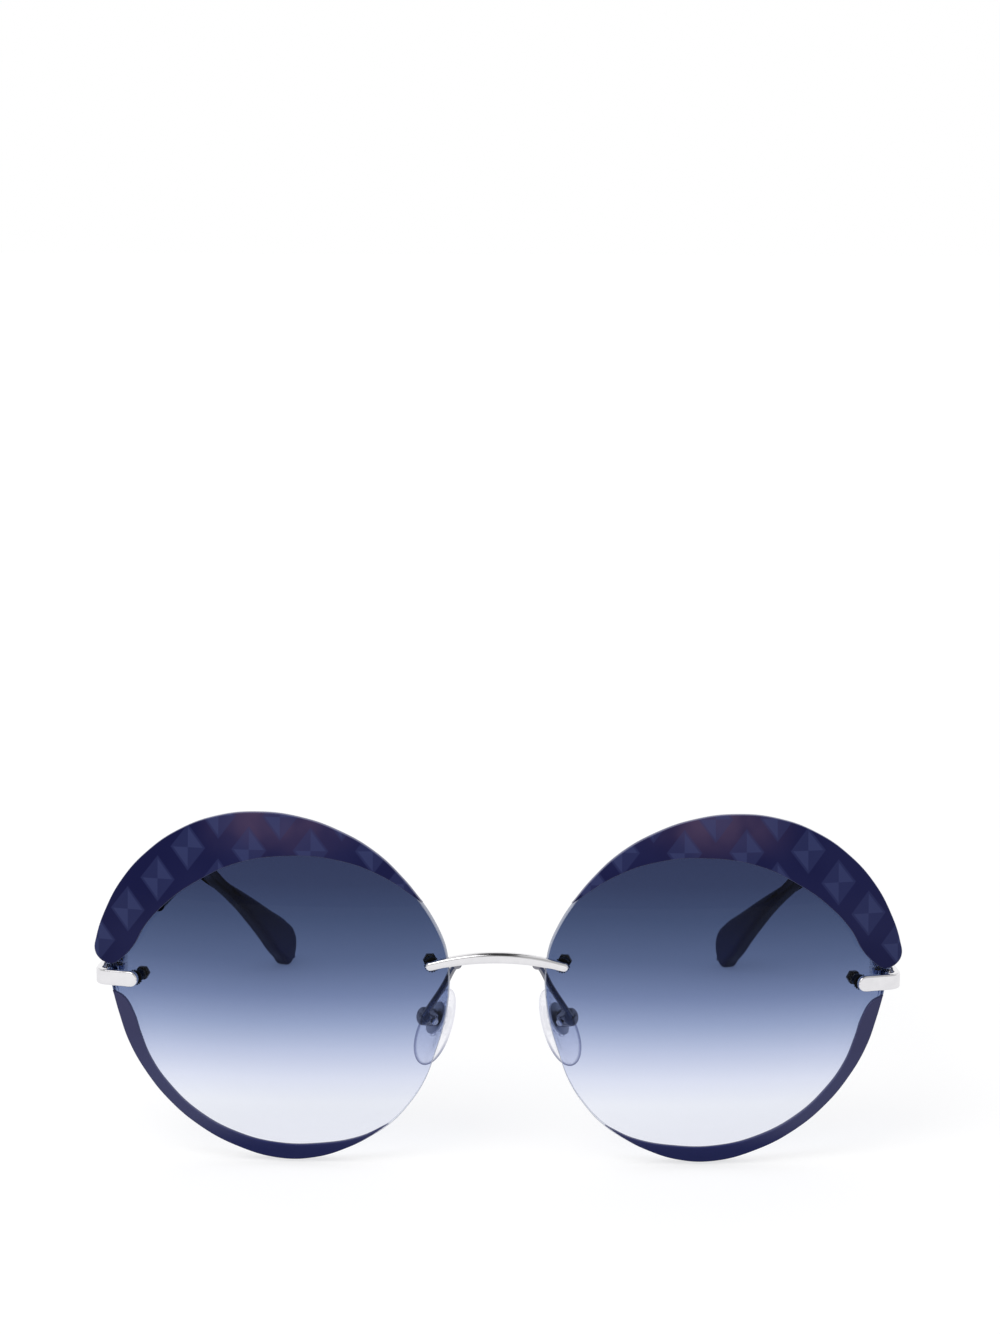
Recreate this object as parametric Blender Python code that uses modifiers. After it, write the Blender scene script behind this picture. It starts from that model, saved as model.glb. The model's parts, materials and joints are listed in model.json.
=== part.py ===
"""Round rimless sunglasses, built piece by piece in metres.

The front faces -Y, the temples run back towards +Y and +Z is up. Left is the wearer's left, at +X.
Each piece is worked out for the left side and mirrored for the right. Plates start as flat blanks,
as the real ones do, and are then formed: lenses and bands over a sphere, metal along a bent path.
"""
import math

import bmesh
import bpy
from mathutils import Matrix, Vector

# Lenses and bands, and half the gap between the lenses for the nose
ROUND_RADIUS = 0.0306
NOSE_HALF_WIDTH = 0.0082
BASE_RADIUS = 0.130
WRAP_ANGLE = math.radians(5)
LENS_THICKNESS = 0.0020
BAND_THICKNESS = 0.0010
BROW_OVERHANG = 0.0006
LENS_RIM = 0.0004

# Fits
SEAT_GAP = 0.0003
SCREW_GAP = 0.00015
CUT_OVERRUN = 0.0010

# Mounts of the metal on the lenses
POST_RADIUS = 0.00050
SLEEVE_RADIUS = 0.00090
FLANGE_RADIUS = 0.00135
FLANGE_THICKNESS = 0.00040
NUT_RADIUS = 0.00125
NUT_HEIGHT = 0.0012
NUT_SIDES = 6

# Bridge
BRIDGE_OVERLAP = 0.0039
BRIDGE_RISE = 0.0016
BRIDGE_END_HEIGHT = 0.0015
BRIDGE_MIDDLE_HEIGHT = 0.0018
BRIDGE_END_DEPTH = 0.0012
BRIDGE_MIDDLE_DEPTH = 0.0020
BRIDGE_POST_INSET = 0.00075

# End pieces, with their places inward from the lens's outer edge
END_HEIGHT = 0.0027
END_THICKNESS = 0.0011
END_INNER_INSET = 0.0080
END_CORNER_INSET = 0.0007
END_REAR_INSET = 0.0015
END_BEND_RADIUS = 0.0020
END_POST_INSET = 0.0007

# Temple hinges
HINGE_STAND_BACK = 0.0058
HINGE_INSET = 0.0022
KNUCKLE_RADIUS = 0.0014
KNUCKLE_MIDDLE = 0.0012
KNUCKLE_OUTER = 0.0009
LEAF_LENGTH = 0.0026
HINGE_PIN_RADIUS = 0.00050
SCREW_HEAD_RADIUS = 0.00095
SCREW_HEAD_HEIGHT = 0.00050
SCREW_SLOT_WIDTH = 0.00025
SCREW_SLOT_DEPTH = 0.00025

# Temples
TEMPLE_REACH = 0.1240
TEMPLE_SPLAY = math.radians(5)
TIP_TUCK = math.radians(22)
TUCK_START = 0.080
TUCK_LENGTH = 0.014
ARM_LENGTH = 0.0380
ARM_HEIGHT = 0.0027
ARM_END_HEIGHT = 0.0022
ARM_THICKNESS = 0.0012
ARM_RISE = 0.0014
CORE_RADIUS = 0.0005
CORE_LENGTH = 0.0280
CORE_DIP = math.radians(1.8)
TIP_THICKNESS = 0.0034
TIP_EDGE_RADIUS = 0.0010
METAL_EDGE_RADIUS = 0.00025

# Nose pads
PAD_WIRE_RADIUS = 0.00055
BOX_RADIUS = 0.00160
BOX_DEPTH = 0.0024
BOX_BACK_WALL = 0.0006
LUG_WIDTH = 0.0017
LUG_THICKNESS = 0.0008
LUG_DEPTH = 0.00065
PAD_SCREW_RADIUS = 0.00035
PAD_SCREW_HEAD_RADIUS = 0.00065
PAD_SCREW_HEAD_HEIGHT = 0.00035
PAD_ROCK = math.radians(8)
COIN_HALF_LENGTH = 0.0030
COIN_HALF_WIDTH = 0.0018
COIN_THICKNESS = 0.0005
COIN_STAND_OFF = 0.0006
PAD_LENGTH = 0.0143
PAD_WIDTH = 0.0075
PAD_THICKNESS = 0.0022
PAD_DROP = 0.0016
PAD_TAPER_SHARE = 0.16
PAD_SPREAD = math.radians(23)
PAD_TURN = math.radians(48)

# Fineness of the facets
PLATE_PITCH = 0.0062
BEND_PITCH = 0.0016
TEMPLE_PITCH = 0.0060
OUTLINE_STEPS = 3
ROUND_SIDES = 20
ARCH_STEPS = 14
ROUND_END_STEPS = 6
BEND_STEPS = 6
METAL_EDGE_STEPS = 2
TIP_EDGE_STEPS = 3
WIRE_BEVEL_STEPS = 2
WIRE_LENGTH_STEPS = 4
PAD_RINGS = 10
SMOOTH_ANGLE = math.radians(35)
FLAT_ANGLE = math.radians(0.5)
WELD = 0.000002

# Outlines of the front, as shares of ROUND_RADIUS outward and upward from the lens's centre
BROW_INNER_SHARES = (
    (0.894, 0.148), (0.821, 0.196), (0.766, 0.258), (0.700, 0.373), (0.575, 0.511), (0.405, 0.636),
    (0.170, 0.748), (-0.120, 0.793), (-0.380, 0.773), (-0.611, 0.694), (-0.851, 0.539),
)
BROW_OUTER_SHARES = (
    (-0.851, 0.539), (-0.747, 0.667), (-0.586, 0.817), (-0.383, 0.932), (-0.173, 1.001),
    (0.060, 1.026), (0.300, 0.997), (0.515, 0.913), (0.693, 0.787), (0.836, 0.628), (0.936, 0.446),
    (0.989, 0.290), (0.998, 0.218), (0.971, 0.172), (0.924, 0.149),
)
NASAL_EDGE_SHARES = (
    (-0.851, 0.539), (-0.944, 0.344), (-0.988, 0.174), (-0.989, 0.000), (-0.963, -0.170),
    (-0.915, -0.333), (-0.856, -0.494), (-0.763, -0.641), (-0.666, -0.747),
)
LOWER_INNER_SHARES = (
    (-0.666, -0.747), (-0.497, -0.816), (-0.258, -0.861), (-0.039, -0.863), (0.186, -0.811),
    (0.411, -0.692), (0.577, -0.534), (0.677, -0.387), (0.734, -0.241), (0.768, -0.133),
    (0.825, -0.040), (0.892, 0.004),
)
LOWER_OUTER_SHARES = (
    (0.905, -0.007), (0.871, -0.134), (0.814, -0.304), (0.720, -0.474), (0.589, -0.639),
    (0.418, -0.785), (0.210, -0.898), (-0.049, -0.968), (-0.257, -0.955), (-0.426, -0.897),
    (-0.556, -0.826), (-0.666, -0.747),
)
LENS_EAR_SHARES = ((0.915, 0.059),)
LOWEST_SHARE = 0.974
END_HEIGHT_SHARE = 0.072
BRIDGE_HEIGHT_SHARE = 0.188

# Outline of a temple tip, as shares of TEMPLE_REACH along it and of the hinge's height above the table
TIP_SHARES = (
    (0.306, 1.091), (0.450, 1.080), (0.565, 1.040), (0.645, 0.972), (0.694, 0.883), (0.726, 0.816),
    (0.831, 0.601), (0.903, 0.446), (0.965, 0.310), (0.994, 0.215), (1.000, 0.120), (0.990, 0.035),
    (0.972, 0.000), (0.951, 0.060), (0.927, 0.134), (0.903, 0.222), (0.855, 0.385), (0.806, 0.540),
    (0.726, 0.752), (0.677, 0.862), (0.610, 0.925), (0.510, 0.970), (0.400, 0.991), (0.306, 0.994),
)
TIP_CORNERS = (0, 23)

# Route of a pad arm from the bridge to its box: shares of the way inward to back, and of the drop
PAD_BOX_OVERLAP = 0.0036
PAD_BOX_STAND_BACK = 0.0042
PAD_BOX_HEIGHT_SHARE = -0.158
PAD_ROOT_INSET = 0.0014
PAD_WIRE_SHARES = (
    (0.0, 0.40, 0.02), (0.0, 0.78, 0.06), (0.12, 1.02, 0.17), (0.365, 1.10, 0.47), (0.71, 1.05, 0.80),
)

COLLECTION = "round_sunglasses"
SIDES = (("left", 1), ("right", -1))


def clear_scene():
    for old in list(bpy.data.objects):
        bpy.data.objects.remove(old, do_unlink=True)


def new_collection(name):
    collection = bpy.data.collections.new(name)
    bpy.context.scene.collection.children.link(collection)
    return collection


def make_material(name, colour, roughness, metallic, alpha=1.0):
    material = bpy.data.materials.new(name)
    material.use_nodes = True
    shader = material.node_tree.nodes["Principled BSDF"]
    shader.inputs["Base Color"].default_value = (*colour, 1.0)
    shader.inputs["Roughness"].default_value = roughness
    shader.inputs["Metallic"].default_value = metallic
    shader.inputs["Alpha"].default_value = alpha
    return material


clear_scene()
parts = new_collection(COLLECTION)
cutters = new_collection(COLLECTION + "_cutters")
MATERIALS = {
    "lens": make_material("gradient_lens", (0.12, 0.16, 0.30), 0.05, 0.0, 0.55),
    "band": make_material("navy_band", (0.018, 0.020, 0.075), 0.15, 0.0),
    "metal": make_material("polished_metal", (0.82, 0.82, 0.84), 0.12, 1.0),
    "bushing": make_material("black_plastic", (0.01, 0.01, 0.012), 0.40, 0.0),
    "pad": make_material("clear_pad", (0.80, 0.82, 0.86), 0.20, 0.0, 0.45),
    "tip": make_material("navy_tip", (0.010, 0.014, 0.045), 0.22, 0.0),
}


# Shapes in the left side's coordinates

def evaluated_mesh(source):
    """The mesh that an object's curve or modifiers make, with the source taken away."""
    bpy.context.scene.collection.objects.link(source)
    depsgraph = bpy.context.evaluated_depsgraph_get()
    mesh = bpy.data.meshes.new_from_object(source.evaluated_get(depsgraph))
    bpy.data.objects.remove(source, do_unlink=True)
    shape = bmesh.new()
    shape.from_mesh(mesh)
    bpy.data.meshes.remove(mesh)
    bmesh.ops.remove_doubles(shape, verts=shape.verts, dist=WELD)
    return shape


def blank(outline, thickness, corners=None):
    """A flat plate in the XZ plane, its thickness along Y. Without corners every point is one."""
    curve = bpy.data.curves.new("blank", "CURVE")
    curve.dimensions = "2D"
    curve.fill_mode = "BOTH"
    curve.extrude = thickness / 2
    spline = curve.splines.new("BEZIER")
    spline.resolution_u = OUTLINE_STEPS
    spline.use_cyclic_u = True
    spline.bezier_points.add(len(outline) - 1)
    for index, (point, place) in enumerate(zip(spline.bezier_points, outline)):
        sharp = corners is None or index in corners
        point.co = (*place, 0)
        point.handle_left_type = "VECTOR" if sharp else "AUTO"
        point.handle_right_type = "VECTOR" if sharp else "AUTO"
    shape = evaluated_mesh(bpy.data.objects.new("blank", curve))
    bmesh.ops.rotate(shape, verts=shape.verts, cent=(0, 0, 0), matrix=Matrix.Rotation(math.pi / 2, 3, "X"))
    bmesh.ops.dissolve_limit(shape, angle_limit=FLAT_ANGLE, verts=shape.verts, edges=shape.edges)
    bmesh.ops.recalc_face_normals(shape, faces=shape.faces)
    return shape


def round_edges(shape, radius, steps):
    """Rounds the edges between a blank's two faces and its rim."""
    def is_rim(face):
        return abs(face.normal.y) < 0.5
    edges = [edge for edge in shape.edges if is_rim(edge.link_faces[0]) != is_rim(edge.link_faces[1])]
    bmesh.ops.bevel(shape, geom=edges, offset=radius, segments=steps, profile=0.5, affect="EDGES",
                    clamp_overlap=True)


def slice_across(shape, pitch, axis):
    """Cuts a blank into strips across one axis, so that it can be formed."""
    places = [vertex.co[axis] for vertex in shape.verts]
    low, high = min(places), max(places)
    count = math.ceil((high - low) / pitch)
    normal = Vector([1.0 if index == axis else 0.0 for index in range(3)])
    for index in range(1, count):
        geometry = list(shape.verts) + list(shape.edges) + list(shape.faces)
        bmesh.ops.bisect_plane(shape, geom=geometry, dist=WELD / 2, plane_no=normal,
                               plane_co=normal * (low + (high - low) * index / count))


def form(shape, mapping):
    """Moves each vertex of a sliced blank to its formed place."""
    bmesh.ops.triangulate(shape, faces=shape.faces)
    for vertex in shape.verts:
        vertex.co = mapping(vertex.co)
    return shape


def cylinder(radius, start, end, sides=ROUND_SIDES):
    """A round bar between two points."""
    shape = bmesh.new()
    start, end = Vector(start), Vector(end)
    turn = (end - start).to_track_quat("Z", "Y").to_matrix().to_4x4()
    bmesh.ops.create_cone(shape, cap_ends=True, segments=sides, radius1=radius, radius2=radius,
                          depth=(end - start).length,
                          matrix=Matrix.Translation((start + end) / 2) @ turn)
    return shape


def block(low, high, frame=Matrix.Identity(4)):
    """A box between two corners of a frame."""
    shape = bmesh.new()
    low, high = Vector(low), Vector(high)
    size = Matrix.Diagonal((*(high - low), 1.0))
    bmesh.ops.create_cube(shape, size=1.0, matrix=frame @ Matrix.Translation((low + high) / 2) @ size)
    return shape


def turned(profile, closed, frame):
    """A body turned about its frame's Z axis from (radius, height) points, outer side downward."""
    mesh = bpy.data.meshes.new("profile")
    edges = [(index, index + 1) for index in range(len(profile) - 1)]
    if closed:
        edges.append((len(profile) - 1, 0))
    mesh.from_pydata([(radius, 0, height) for radius, height in profile], edges, [])
    source = bpy.data.objects.new("profile", mesh)
    screw = source.modifiers.new("turn", "SCREW")
    screw.steps = screw.render_steps = ROUND_SIDES
    screw.use_merge_vertices = True
    screw.merge_threshold = WELD
    shape = evaluated_mesh(source)
    shape.transform(frame)
    return shape


# Pieces and their cuts

def to_object(shape, name, side, body, collection):
    """Makes a left-side shape an object of one side, with its origin at its body's pivot."""
    shape.transform(Matrix.Diagonal((side, 1.0, 1.0, 1.0)))
    shape.normal_update()
    bmesh.ops.recalc_face_normals(shape, faces=shape.faces)
    shape.transform(Matrix.Translation(-body.location))
    mesh = bpy.data.meshes.new(name)
    shape.to_mesh(mesh)
    shape.free()
    mesh.shade_smooth()
    mesh.set_sharp_from_angle(angle=SMOOTH_ANGLE)
    made = bpy.data.objects.new(name, mesh)
    made.parent = body
    collection.objects.link(made)
    return made


def piece(shape, name, side, body, material):
    made = to_object(shape, name, side, body, parts)
    made.data.materials.append(MATERIALS[material])
    return made


def combine(target, shape, side, operation):
    """Joins a shape to a piece, or cuts it from the piece."""
    helper = to_object(shape, f"{target.name}.{operation.lower()}", side, target.parent, cutters)
    helper.hide_render = True
    helper.display_type = "WIRE"
    modifier = target.modifiers.new(operation.lower(), "BOOLEAN")
    modifier.operation = operation
    modifier.solver = "EXACT"
    modifier.object = helper


def join(target, shape, side):
    combine(target, shape, side, "UNION")


def cut(target, shape, side):
    combine(target, shape, side, "DIFFERENCE")


def pivot(name, place, side):
    """An empty that carries one body, at its joint."""
    empty = bpy.data.objects.new(name, None)
    empty.empty_display_size = KNUCKLE_RADIUS
    empty.location = (place[0] * side, place[1], place[2])
    parts.objects.link(empty)
    return empty


# Places on the front

LENS_CENTRE_X = NOSE_HALF_WIDTH + ROUND_RADIUS
LENS_CENTRE_Z = ROUND_RADIUS * LOWEST_SHARE
LENS_MATRIX = Matrix.Translation((LENS_CENTRE_X, 0, LENS_CENTRE_Z)) @ Matrix.Rotation(WRAP_ANGLE, 4, "Z")
STAND_OFF = SEAT_GAP + FLANGE_THICKNESS + SEAT_GAP
END_INNER_U = ROUND_RADIUS - END_INNER_INSET
END_CORNER_U = ROUND_RADIUS - END_CORNER_INSET
END_UPWARD = ROUND_RADIUS * END_HEIGHT_SHARE
END_REAR_X = LENS_CENTRE_X + ROUND_RADIUS - END_REAR_INSET
HINGE_X = END_REAR_X - HINGE_INSET
HINGE_HEIGHT = LENS_CENTRE_Z + END_UPWARD
BRIDGE_HALF_LENGTH = NOSE_HALF_WIDTH + BRIDGE_OVERLAP
BRIDGE_UPWARD = ROUND_RADIUS * BRIDGE_HEIGHT_SHARE
BRIDGE_HEIGHT = LENS_CENTRE_Z + BRIDGE_UPWARD
BRIDGE_SEAT_U = (BRIDGE_HALF_LENGTH - BRIDGE_POST_INSET - LENS_CENTRE_X) / math.cos(WRAP_ANGLE)
PAD_BOX_X = NOSE_HALF_WIDTH + PAD_BOX_OVERLAP
PAD_ROOT_X = NOSE_HALF_WIDTH - PAD_ROOT_INSET
BOX_FRONT = BOX_DEPTH / 2 - BOX_BACK_WALL / 2
BOX_BACK = BOX_FRONT - BOX_DEPTH


def sag(outward, upward):
    """How far the sphere of a lens falls back behind its apex."""
    return BASE_RADIUS - math.sqrt(BASE_RADIUS ** 2 - outward ** 2 - upward ** 2)


def lens_point(outward, upward, depth=0.0):
    """A point behind the front surface of the left lens."""
    return LENS_MATRIX @ Vector((outward, sag(outward, upward) + depth, upward))


def lens_seat(outward, upward):
    """A frame on the lens's front surface whose Z axis points into the lens."""
    inward = Vector((-outward, BASE_RADIUS - sag(outward, upward), -upward)).normalized()
    turn = (LENS_MATRIX.to_3x3() @ inward).to_track_quat("Z", "X").to_matrix().to_4x4()
    return Matrix.Translation(lens_point(outward, upward)) @ turn


BRIDGE_SEAT = lens_seat(BRIDGE_SEAT_U, BRIDGE_UPWARD)
END_SEAT = lens_seat(END_INNER_U + END_POST_INSET, END_UPWARD)
HINGE_BACK = lens_point(END_CORNER_U, END_UPWARD).y + HINGE_STAND_BACK
PAD_BOX_BACK = lens_point(-ROUND_RADIUS, 0).y + PAD_BOX_STAND_BACK


def scaled(shares, size):
    return [(share[0] * size, share[1] * size) for share in shares]


def pulled_in(points, distance):
    """Points moved towards the lens's centre, so that one plate's edge stands back from the other's."""
    return [tuple(Vector(point) * (1 - distance / Vector(point).length)) for point in points]


def lens_plate(outline, corners, thickness, depth):
    """A plate of even thickness formed over the lens's sphere."""
    shape = blank(outline, thickness, corners)
    slice_across(shape, PLATE_PITCH, 0)
    slice_across(shape, PLATE_PITCH, 2)
    return form(shape, lambda place: lens_point(place.x, place.z, depth + thickness / 2 + place.y))


def build_lens(side, word, body):
    """The round lens, with its two holes for the metal."""
    brow = pulled_in(scaled(BROW_OUTER_SHARES[1:], ROUND_RADIUS), BROW_OVERHANG)
    rest = scaled(LENS_EAR_SHARES + LOWER_OUTER_SHARES + NASAL_EDGE_SHARES[-2::-1], ROUND_RADIUS)
    lens = piece(lens_plate(brow + rest, (), LENS_THICKNESS, 0.0), f"lens_{word}", side, body, "lens")
    hole = SLEEVE_RADIUS + SCREW_GAP
    for seat in (BRIDGE_SEAT, END_SEAT):
        near, far = seat @ Vector((0, 0, -CUT_OVERRUN)), seat @ Vector((0, 0, LENS_THICKNESS + CUT_OVERRUN))
        cut(lens, cylinder(hole, near, far), side)


def build_bands(side, word, body):
    """The crescent plates bonded on the lens's face: the brow band and the lower band."""
    depth = -SEAT_GAP - BAND_THICKNESS
    outer = scaled(BROW_OUTER_SHARES, ROUND_RADIUS)
    inner = scaled(BROW_INNER_SHARES[:-1], ROUND_RADIUS)
    shape = lens_plate(outer + inner, (0,), BAND_THICKNESS, depth)
    piece(shape, f"brow_band_{word}", side, body, "band")
    outer = pulled_in(scaled(LOWER_OUTER_SHARES, ROUND_RADIUS), LENS_RIM)
    inner = scaled(LOWER_INNER_SHARES[1:-1], ROUND_RADIUS)
    shape = lens_plate(outer + inner, (0, len(outer) - 1), BAND_THICKNESS, depth)
    piece(shape, f"lower_band_{word}", side, body, "band")


def build_fixings(side, word, body, where, seat):
    """The black bushing in a lens hole and the nut behind the lens."""
    back = LENS_THICKNESS + SEAT_GAP
    front = -SEAT_GAP - FLANGE_THICKNESS
    bore = POST_RADIUS + SCREW_GAP
    profile = (
        (FLANGE_RADIUS, front), (FLANGE_RADIUS, -SEAT_GAP), (SLEEVE_RADIUS, -SEAT_GAP),
        (SLEEVE_RADIUS, LENS_THICKNESS), (bore, LENS_THICKNESS), (bore, front),
    )
    piece(turned(profile, True, seat), f"{where}_bushing_{word}", side, body, "bushing")
    nut = cylinder(NUT_RADIUS, seat @ Vector((0, 0, back)), seat @ Vector((0, 0, back + NUT_HEIGHT)),
                   NUT_SIDES)
    nut = piece(nut, f"{where}_nut_{word}", side, body, "metal")
    near = seat @ Vector((0, 0, back - CUT_OVERRUN))
    far = seat @ Vector((0, 0, back + NUT_HEIGHT + CUT_OVERRUN))
    cut(nut, cylinder(bore, near, far), side)


def post(seat):
    """The threaded post that passes through a bushing and its nut."""
    end = LENS_THICKNESS + SEAT_GAP + NUT_HEIGHT
    return cylinder(POST_RADIUS, seat @ Vector((0, 0, -STAND_OFF - POST_RADIUS)),
                    seat @ Vector((0, 0, end)))


# The bridge

def bridge_outline():
    """The bar seen from the front: arched, taller in the middle, with round ends."""
    straight = BRIDGE_HALF_LENGTH - BRIDGE_END_HEIGHT / 2

    def edge(sign):
        points = []
        for index in range(ARCH_STEPS + 1):
            share = index / ARCH_STEPS * 2 - 1
            height = BRIDGE_END_HEIGHT + (BRIDGE_MIDDLE_HEIGHT - BRIDGE_END_HEIGHT) * (1 - share ** 2)
            arch = BRIDGE_RISE * (1 - share ** 2)
            points.append((straight * share, arch + sign * height / 2))
        return points

    def end(sign):
        turns = [math.pi * (0.5 - index / ROUND_END_STEPS) for index in range(1, ROUND_END_STEPS)]
        reach = BRIDGE_END_HEIGHT / 2
        return [(sign * (straight + reach * math.cos(turn)), reach * math.sin(turn)) for turn in turns]
    return edge(1) + end(1) + edge(-1)[::-1] + end(-1)[::-1]


def bridge_depth(across):
    """Half the bar's depth, and how far back its middle line lies, at a place across the front."""
    share = min(1.0, abs(across) / BRIDGE_HALF_LENGTH)
    return BRIDGE_END_DEPTH + (BRIDGE_MIDDLE_DEPTH - BRIDGE_END_DEPTH) * (1 - share ** 2)


def bridge_middle_back():
    """The bar's middle line keeps its stand-off in front of the lens at its posts."""
    seat = BRIDGE_SEAT.translation
    return seat.y - STAND_OFF - BRIDGE_END_DEPTH / 2


def build_bridge(body):
    shape = blank(bridge_outline(), BRIDGE_END_DEPTH)
    round_edges(shape, METAL_EDGE_RADIUS, METAL_EDGE_STEPS)
    slice_across(shape, BEND_PITCH, 0)
    centre = bridge_middle_back()

    def mapping(place):
        depth = bridge_depth(place.x) / BRIDGE_END_DEPTH
        return Vector((place.x, centre + place.y * depth, place.z + BRIDGE_HEIGHT))
    bridge = piece(form(shape, mapping), "bridge", 1, body, "metal")
    for word, side in SIDES:
        join(bridge, post(BRIDGE_SEAT), side)


# The end pieces and hinges

def filleted(points, radius):
    """A path through three points whose corner is an arc."""
    first, corner, last = (Vector(point) for point in points)
    before, after = (first - corner).normalized(), (last - corner).normalized()
    half = before.angle(after) / 2
    tangent = radius / math.tan(half)
    middle = corner + (before + after).normalized() * (radius / math.sin(half))
    start, end = corner + before * tangent - middle, corner + after * tangent - middle
    swing = start.angle_signed(end)
    turns = [swing * index / BEND_STEPS for index in range(BEND_STEPS + 1)]
    arc = [middle + Matrix.Rotation(-turn, 2) @ start for turn in turns]
    return [first] + arc + [last]


def lengths_along(path):
    """How far along a path each of its points lies."""
    lengths = [0.0]
    for before, after in zip(path, path[1:]):
        lengths.append(lengths[-1] + (after - before).length)
    return lengths


def along(path):
    """Maps a place along, across and above a plan path to its place in space."""
    lengths = lengths_along(path)

    def heading(index):
        return (path[index + 1] - path[index]).normalized()

    def joint_heading(index):
        if index == 0:
            return heading(0)
        if index == len(path) - 1:
            return heading(index - 1)
        return (heading(index - 1) + heading(index)).normalized()

    def mapping(place):
        index = 0
        while index < len(path) - 2 and place.x > lengths[index + 1]:
            index += 1
        share = (place.x - lengths[index]) / (lengths[index + 1] - lengths[index])
        share_in = min(1.0, max(0.0, share))
        forward = joint_heading(index).lerp(joint_heading(index + 1), share_in).normalized()
        spot = path[index].lerp(path[index + 1], share)
        across = Vector((-forward.y, forward.x)) * place.y
        return Vector((spot.x + across.x, spot.y + across.y, place.z))
    return mapping


def build_end_piece(side, word, body):
    """The bar in front of the lens, bent round its edge and back to the hinge."""
    middle = STAND_OFF + END_THICKNESS / 2
    inner = lens_point(END_INNER_U, END_UPWARD, -middle)
    corner = lens_point(END_CORNER_U, END_UPWARD, -middle)
    rear = Vector((END_REAR_X, HINGE_BACK - SEAT_GAP / 2))
    path = filleted((inner.xy, corner.xy, rear), END_BEND_RADIUS)
    mapping = along(path)
    length = lengths_along(path)[-1]
    half = END_HEIGHT / 2
    turns = [math.pi * (0.5 + index / ROUND_END_STEPS) for index in range(ROUND_END_STEPS + 1)]
    outline = [(half + half * math.cos(turn), half * math.sin(turn)) for turn in turns]
    outline += [(length, -half), (length, half)]
    shape = blank(outline, END_THICKNESS)
    round_edges(shape, METAL_EDGE_RADIUS, METAL_EDGE_STEPS)
    slice_across(shape, BEND_PITCH, 0)
    shape = form(shape, lambda place: mapping(place) + Vector((0, 0, HINGE_HEIGHT)))
    end_piece = piece(shape, f"end_piece_{word}", side, body, "metal")
    join(end_piece, post(END_SEAT), side)
    reach = KNUCKLE_MIDDLE / 2 + SEAT_GAP
    for low in (reach, -reach - KNUCKLE_OUTER):
        join(end_piece, knuckle(low, low + KNUCKLE_OUTER), side)
        join(end_piece, leaf(low, low + KNUCKLE_OUTER, -1), side)
    cut(end_piece, hinge_bore(), side)


def knuckle(low, high):
    return cylinder(KNUCKLE_RADIUS, (HINGE_X, HINGE_BACK, HINGE_HEIGHT + low),
                    (HINGE_X, HINGE_BACK, HINGE_HEIGHT + high))


def leaf(low, high, direction):
    """The flat that carries a knuckle, on the bar before the hinge or on the arm behind it."""
    near = HINGE_BACK + direction * SEAT_GAP
    far = near + direction * LEAF_LENGTH
    return block((HINGE_X, min(near, far), HINGE_HEIGHT + low),
                 (HINGE_X + HINGE_INSET, max(near, far), HINGE_HEIGHT + high))


def hinge_bore():
    reach = KNUCKLE_MIDDLE / 2 + SEAT_GAP + KNUCKLE_OUTER + CUT_OVERRUN
    return cylinder(HINGE_PIN_RADIUS + SCREW_GAP, (HINGE_X, HINGE_BACK, HINGE_HEIGHT - reach),
                    (HINGE_X, HINGE_BACK, HINGE_HEIGHT + reach))


def slotted_screw(head_radius, head_height, shank_radius, seat_height, end_height, frame):
    """A screw with its head above the seat, and the slot that is cut in the head."""
    top = seat_height + head_height
    profile = (
        (0, top), (head_radius, top), (head_radius, seat_height), (shank_radius, seat_height),
        (shank_radius, end_height), (0, end_height),
    )
    wide = head_radius + CUT_OVERRUN
    slot = block((-wide, -SCREW_SLOT_WIDTH / 2, top - SCREW_SLOT_DEPTH),
                 (wide, SCREW_SLOT_WIDTH / 2, top + CUT_OVERRUN), frame)
    return turned(profile, False, frame), slot


def build_hinge_screw(side, word, body):
    reach = KNUCKLE_MIDDLE / 2 + SEAT_GAP + KNUCKLE_OUTER
    frame = Matrix.Translation((HINGE_X, HINGE_BACK, HINGE_HEIGHT))
    shape, slot = slotted_screw(SCREW_HEAD_RADIUS, SCREW_HEAD_HEIGHT, HINGE_PIN_RADIUS,
                                reach + SCREW_GAP, -reach, frame)
    screw = piece(shape, f"hinge_screw_{word}", side, body, "metal")
    cut(screw, slot, side)


# The temples

def temple_path():
    """The temple in plan: straight, then tucked in behind the ear."""
    start = Vector((HINGE_X + HINGE_INSET, HINGE_BACK + SEAT_GAP / 2))
    path = [start, start + heading_of(TEMPLE_SPLAY) * TUCK_START]
    for index in range(BEND_STEPS):
        angle = TEMPLE_SPLAY + (TIP_TUCK - TEMPLE_SPLAY) * (index + 0.5) / BEND_STEPS
        path.append(path[-1] + heading_of(angle) * TUCK_LENGTH / BEND_STEPS)
    path.append(path[-1] + heading_of(TIP_TUCK) * (TEMPLE_REACH - TUCK_START - TUCK_LENGTH))
    return path


def heading_of(angle):
    """The way a temple runs when it turns in by an angle."""
    return Vector((-math.sin(angle), math.cos(angle)))


def core_line(distance):
    """A place on the core's middle line, which starts at the arm's end and dips to stay inside the tip."""
    start = Vector((HINGE_X + HINGE_INSET, HINGE_BACK + SEAT_GAP / 2))
    plan = start + heading_of(TEMPLE_SPLAY) * (ARM_LENGTH + distance)
    return Vector((plan.x, plan.y, HINGE_HEIGHT + ARM_RISE - distance * math.tan(CORE_DIP)))


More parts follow.
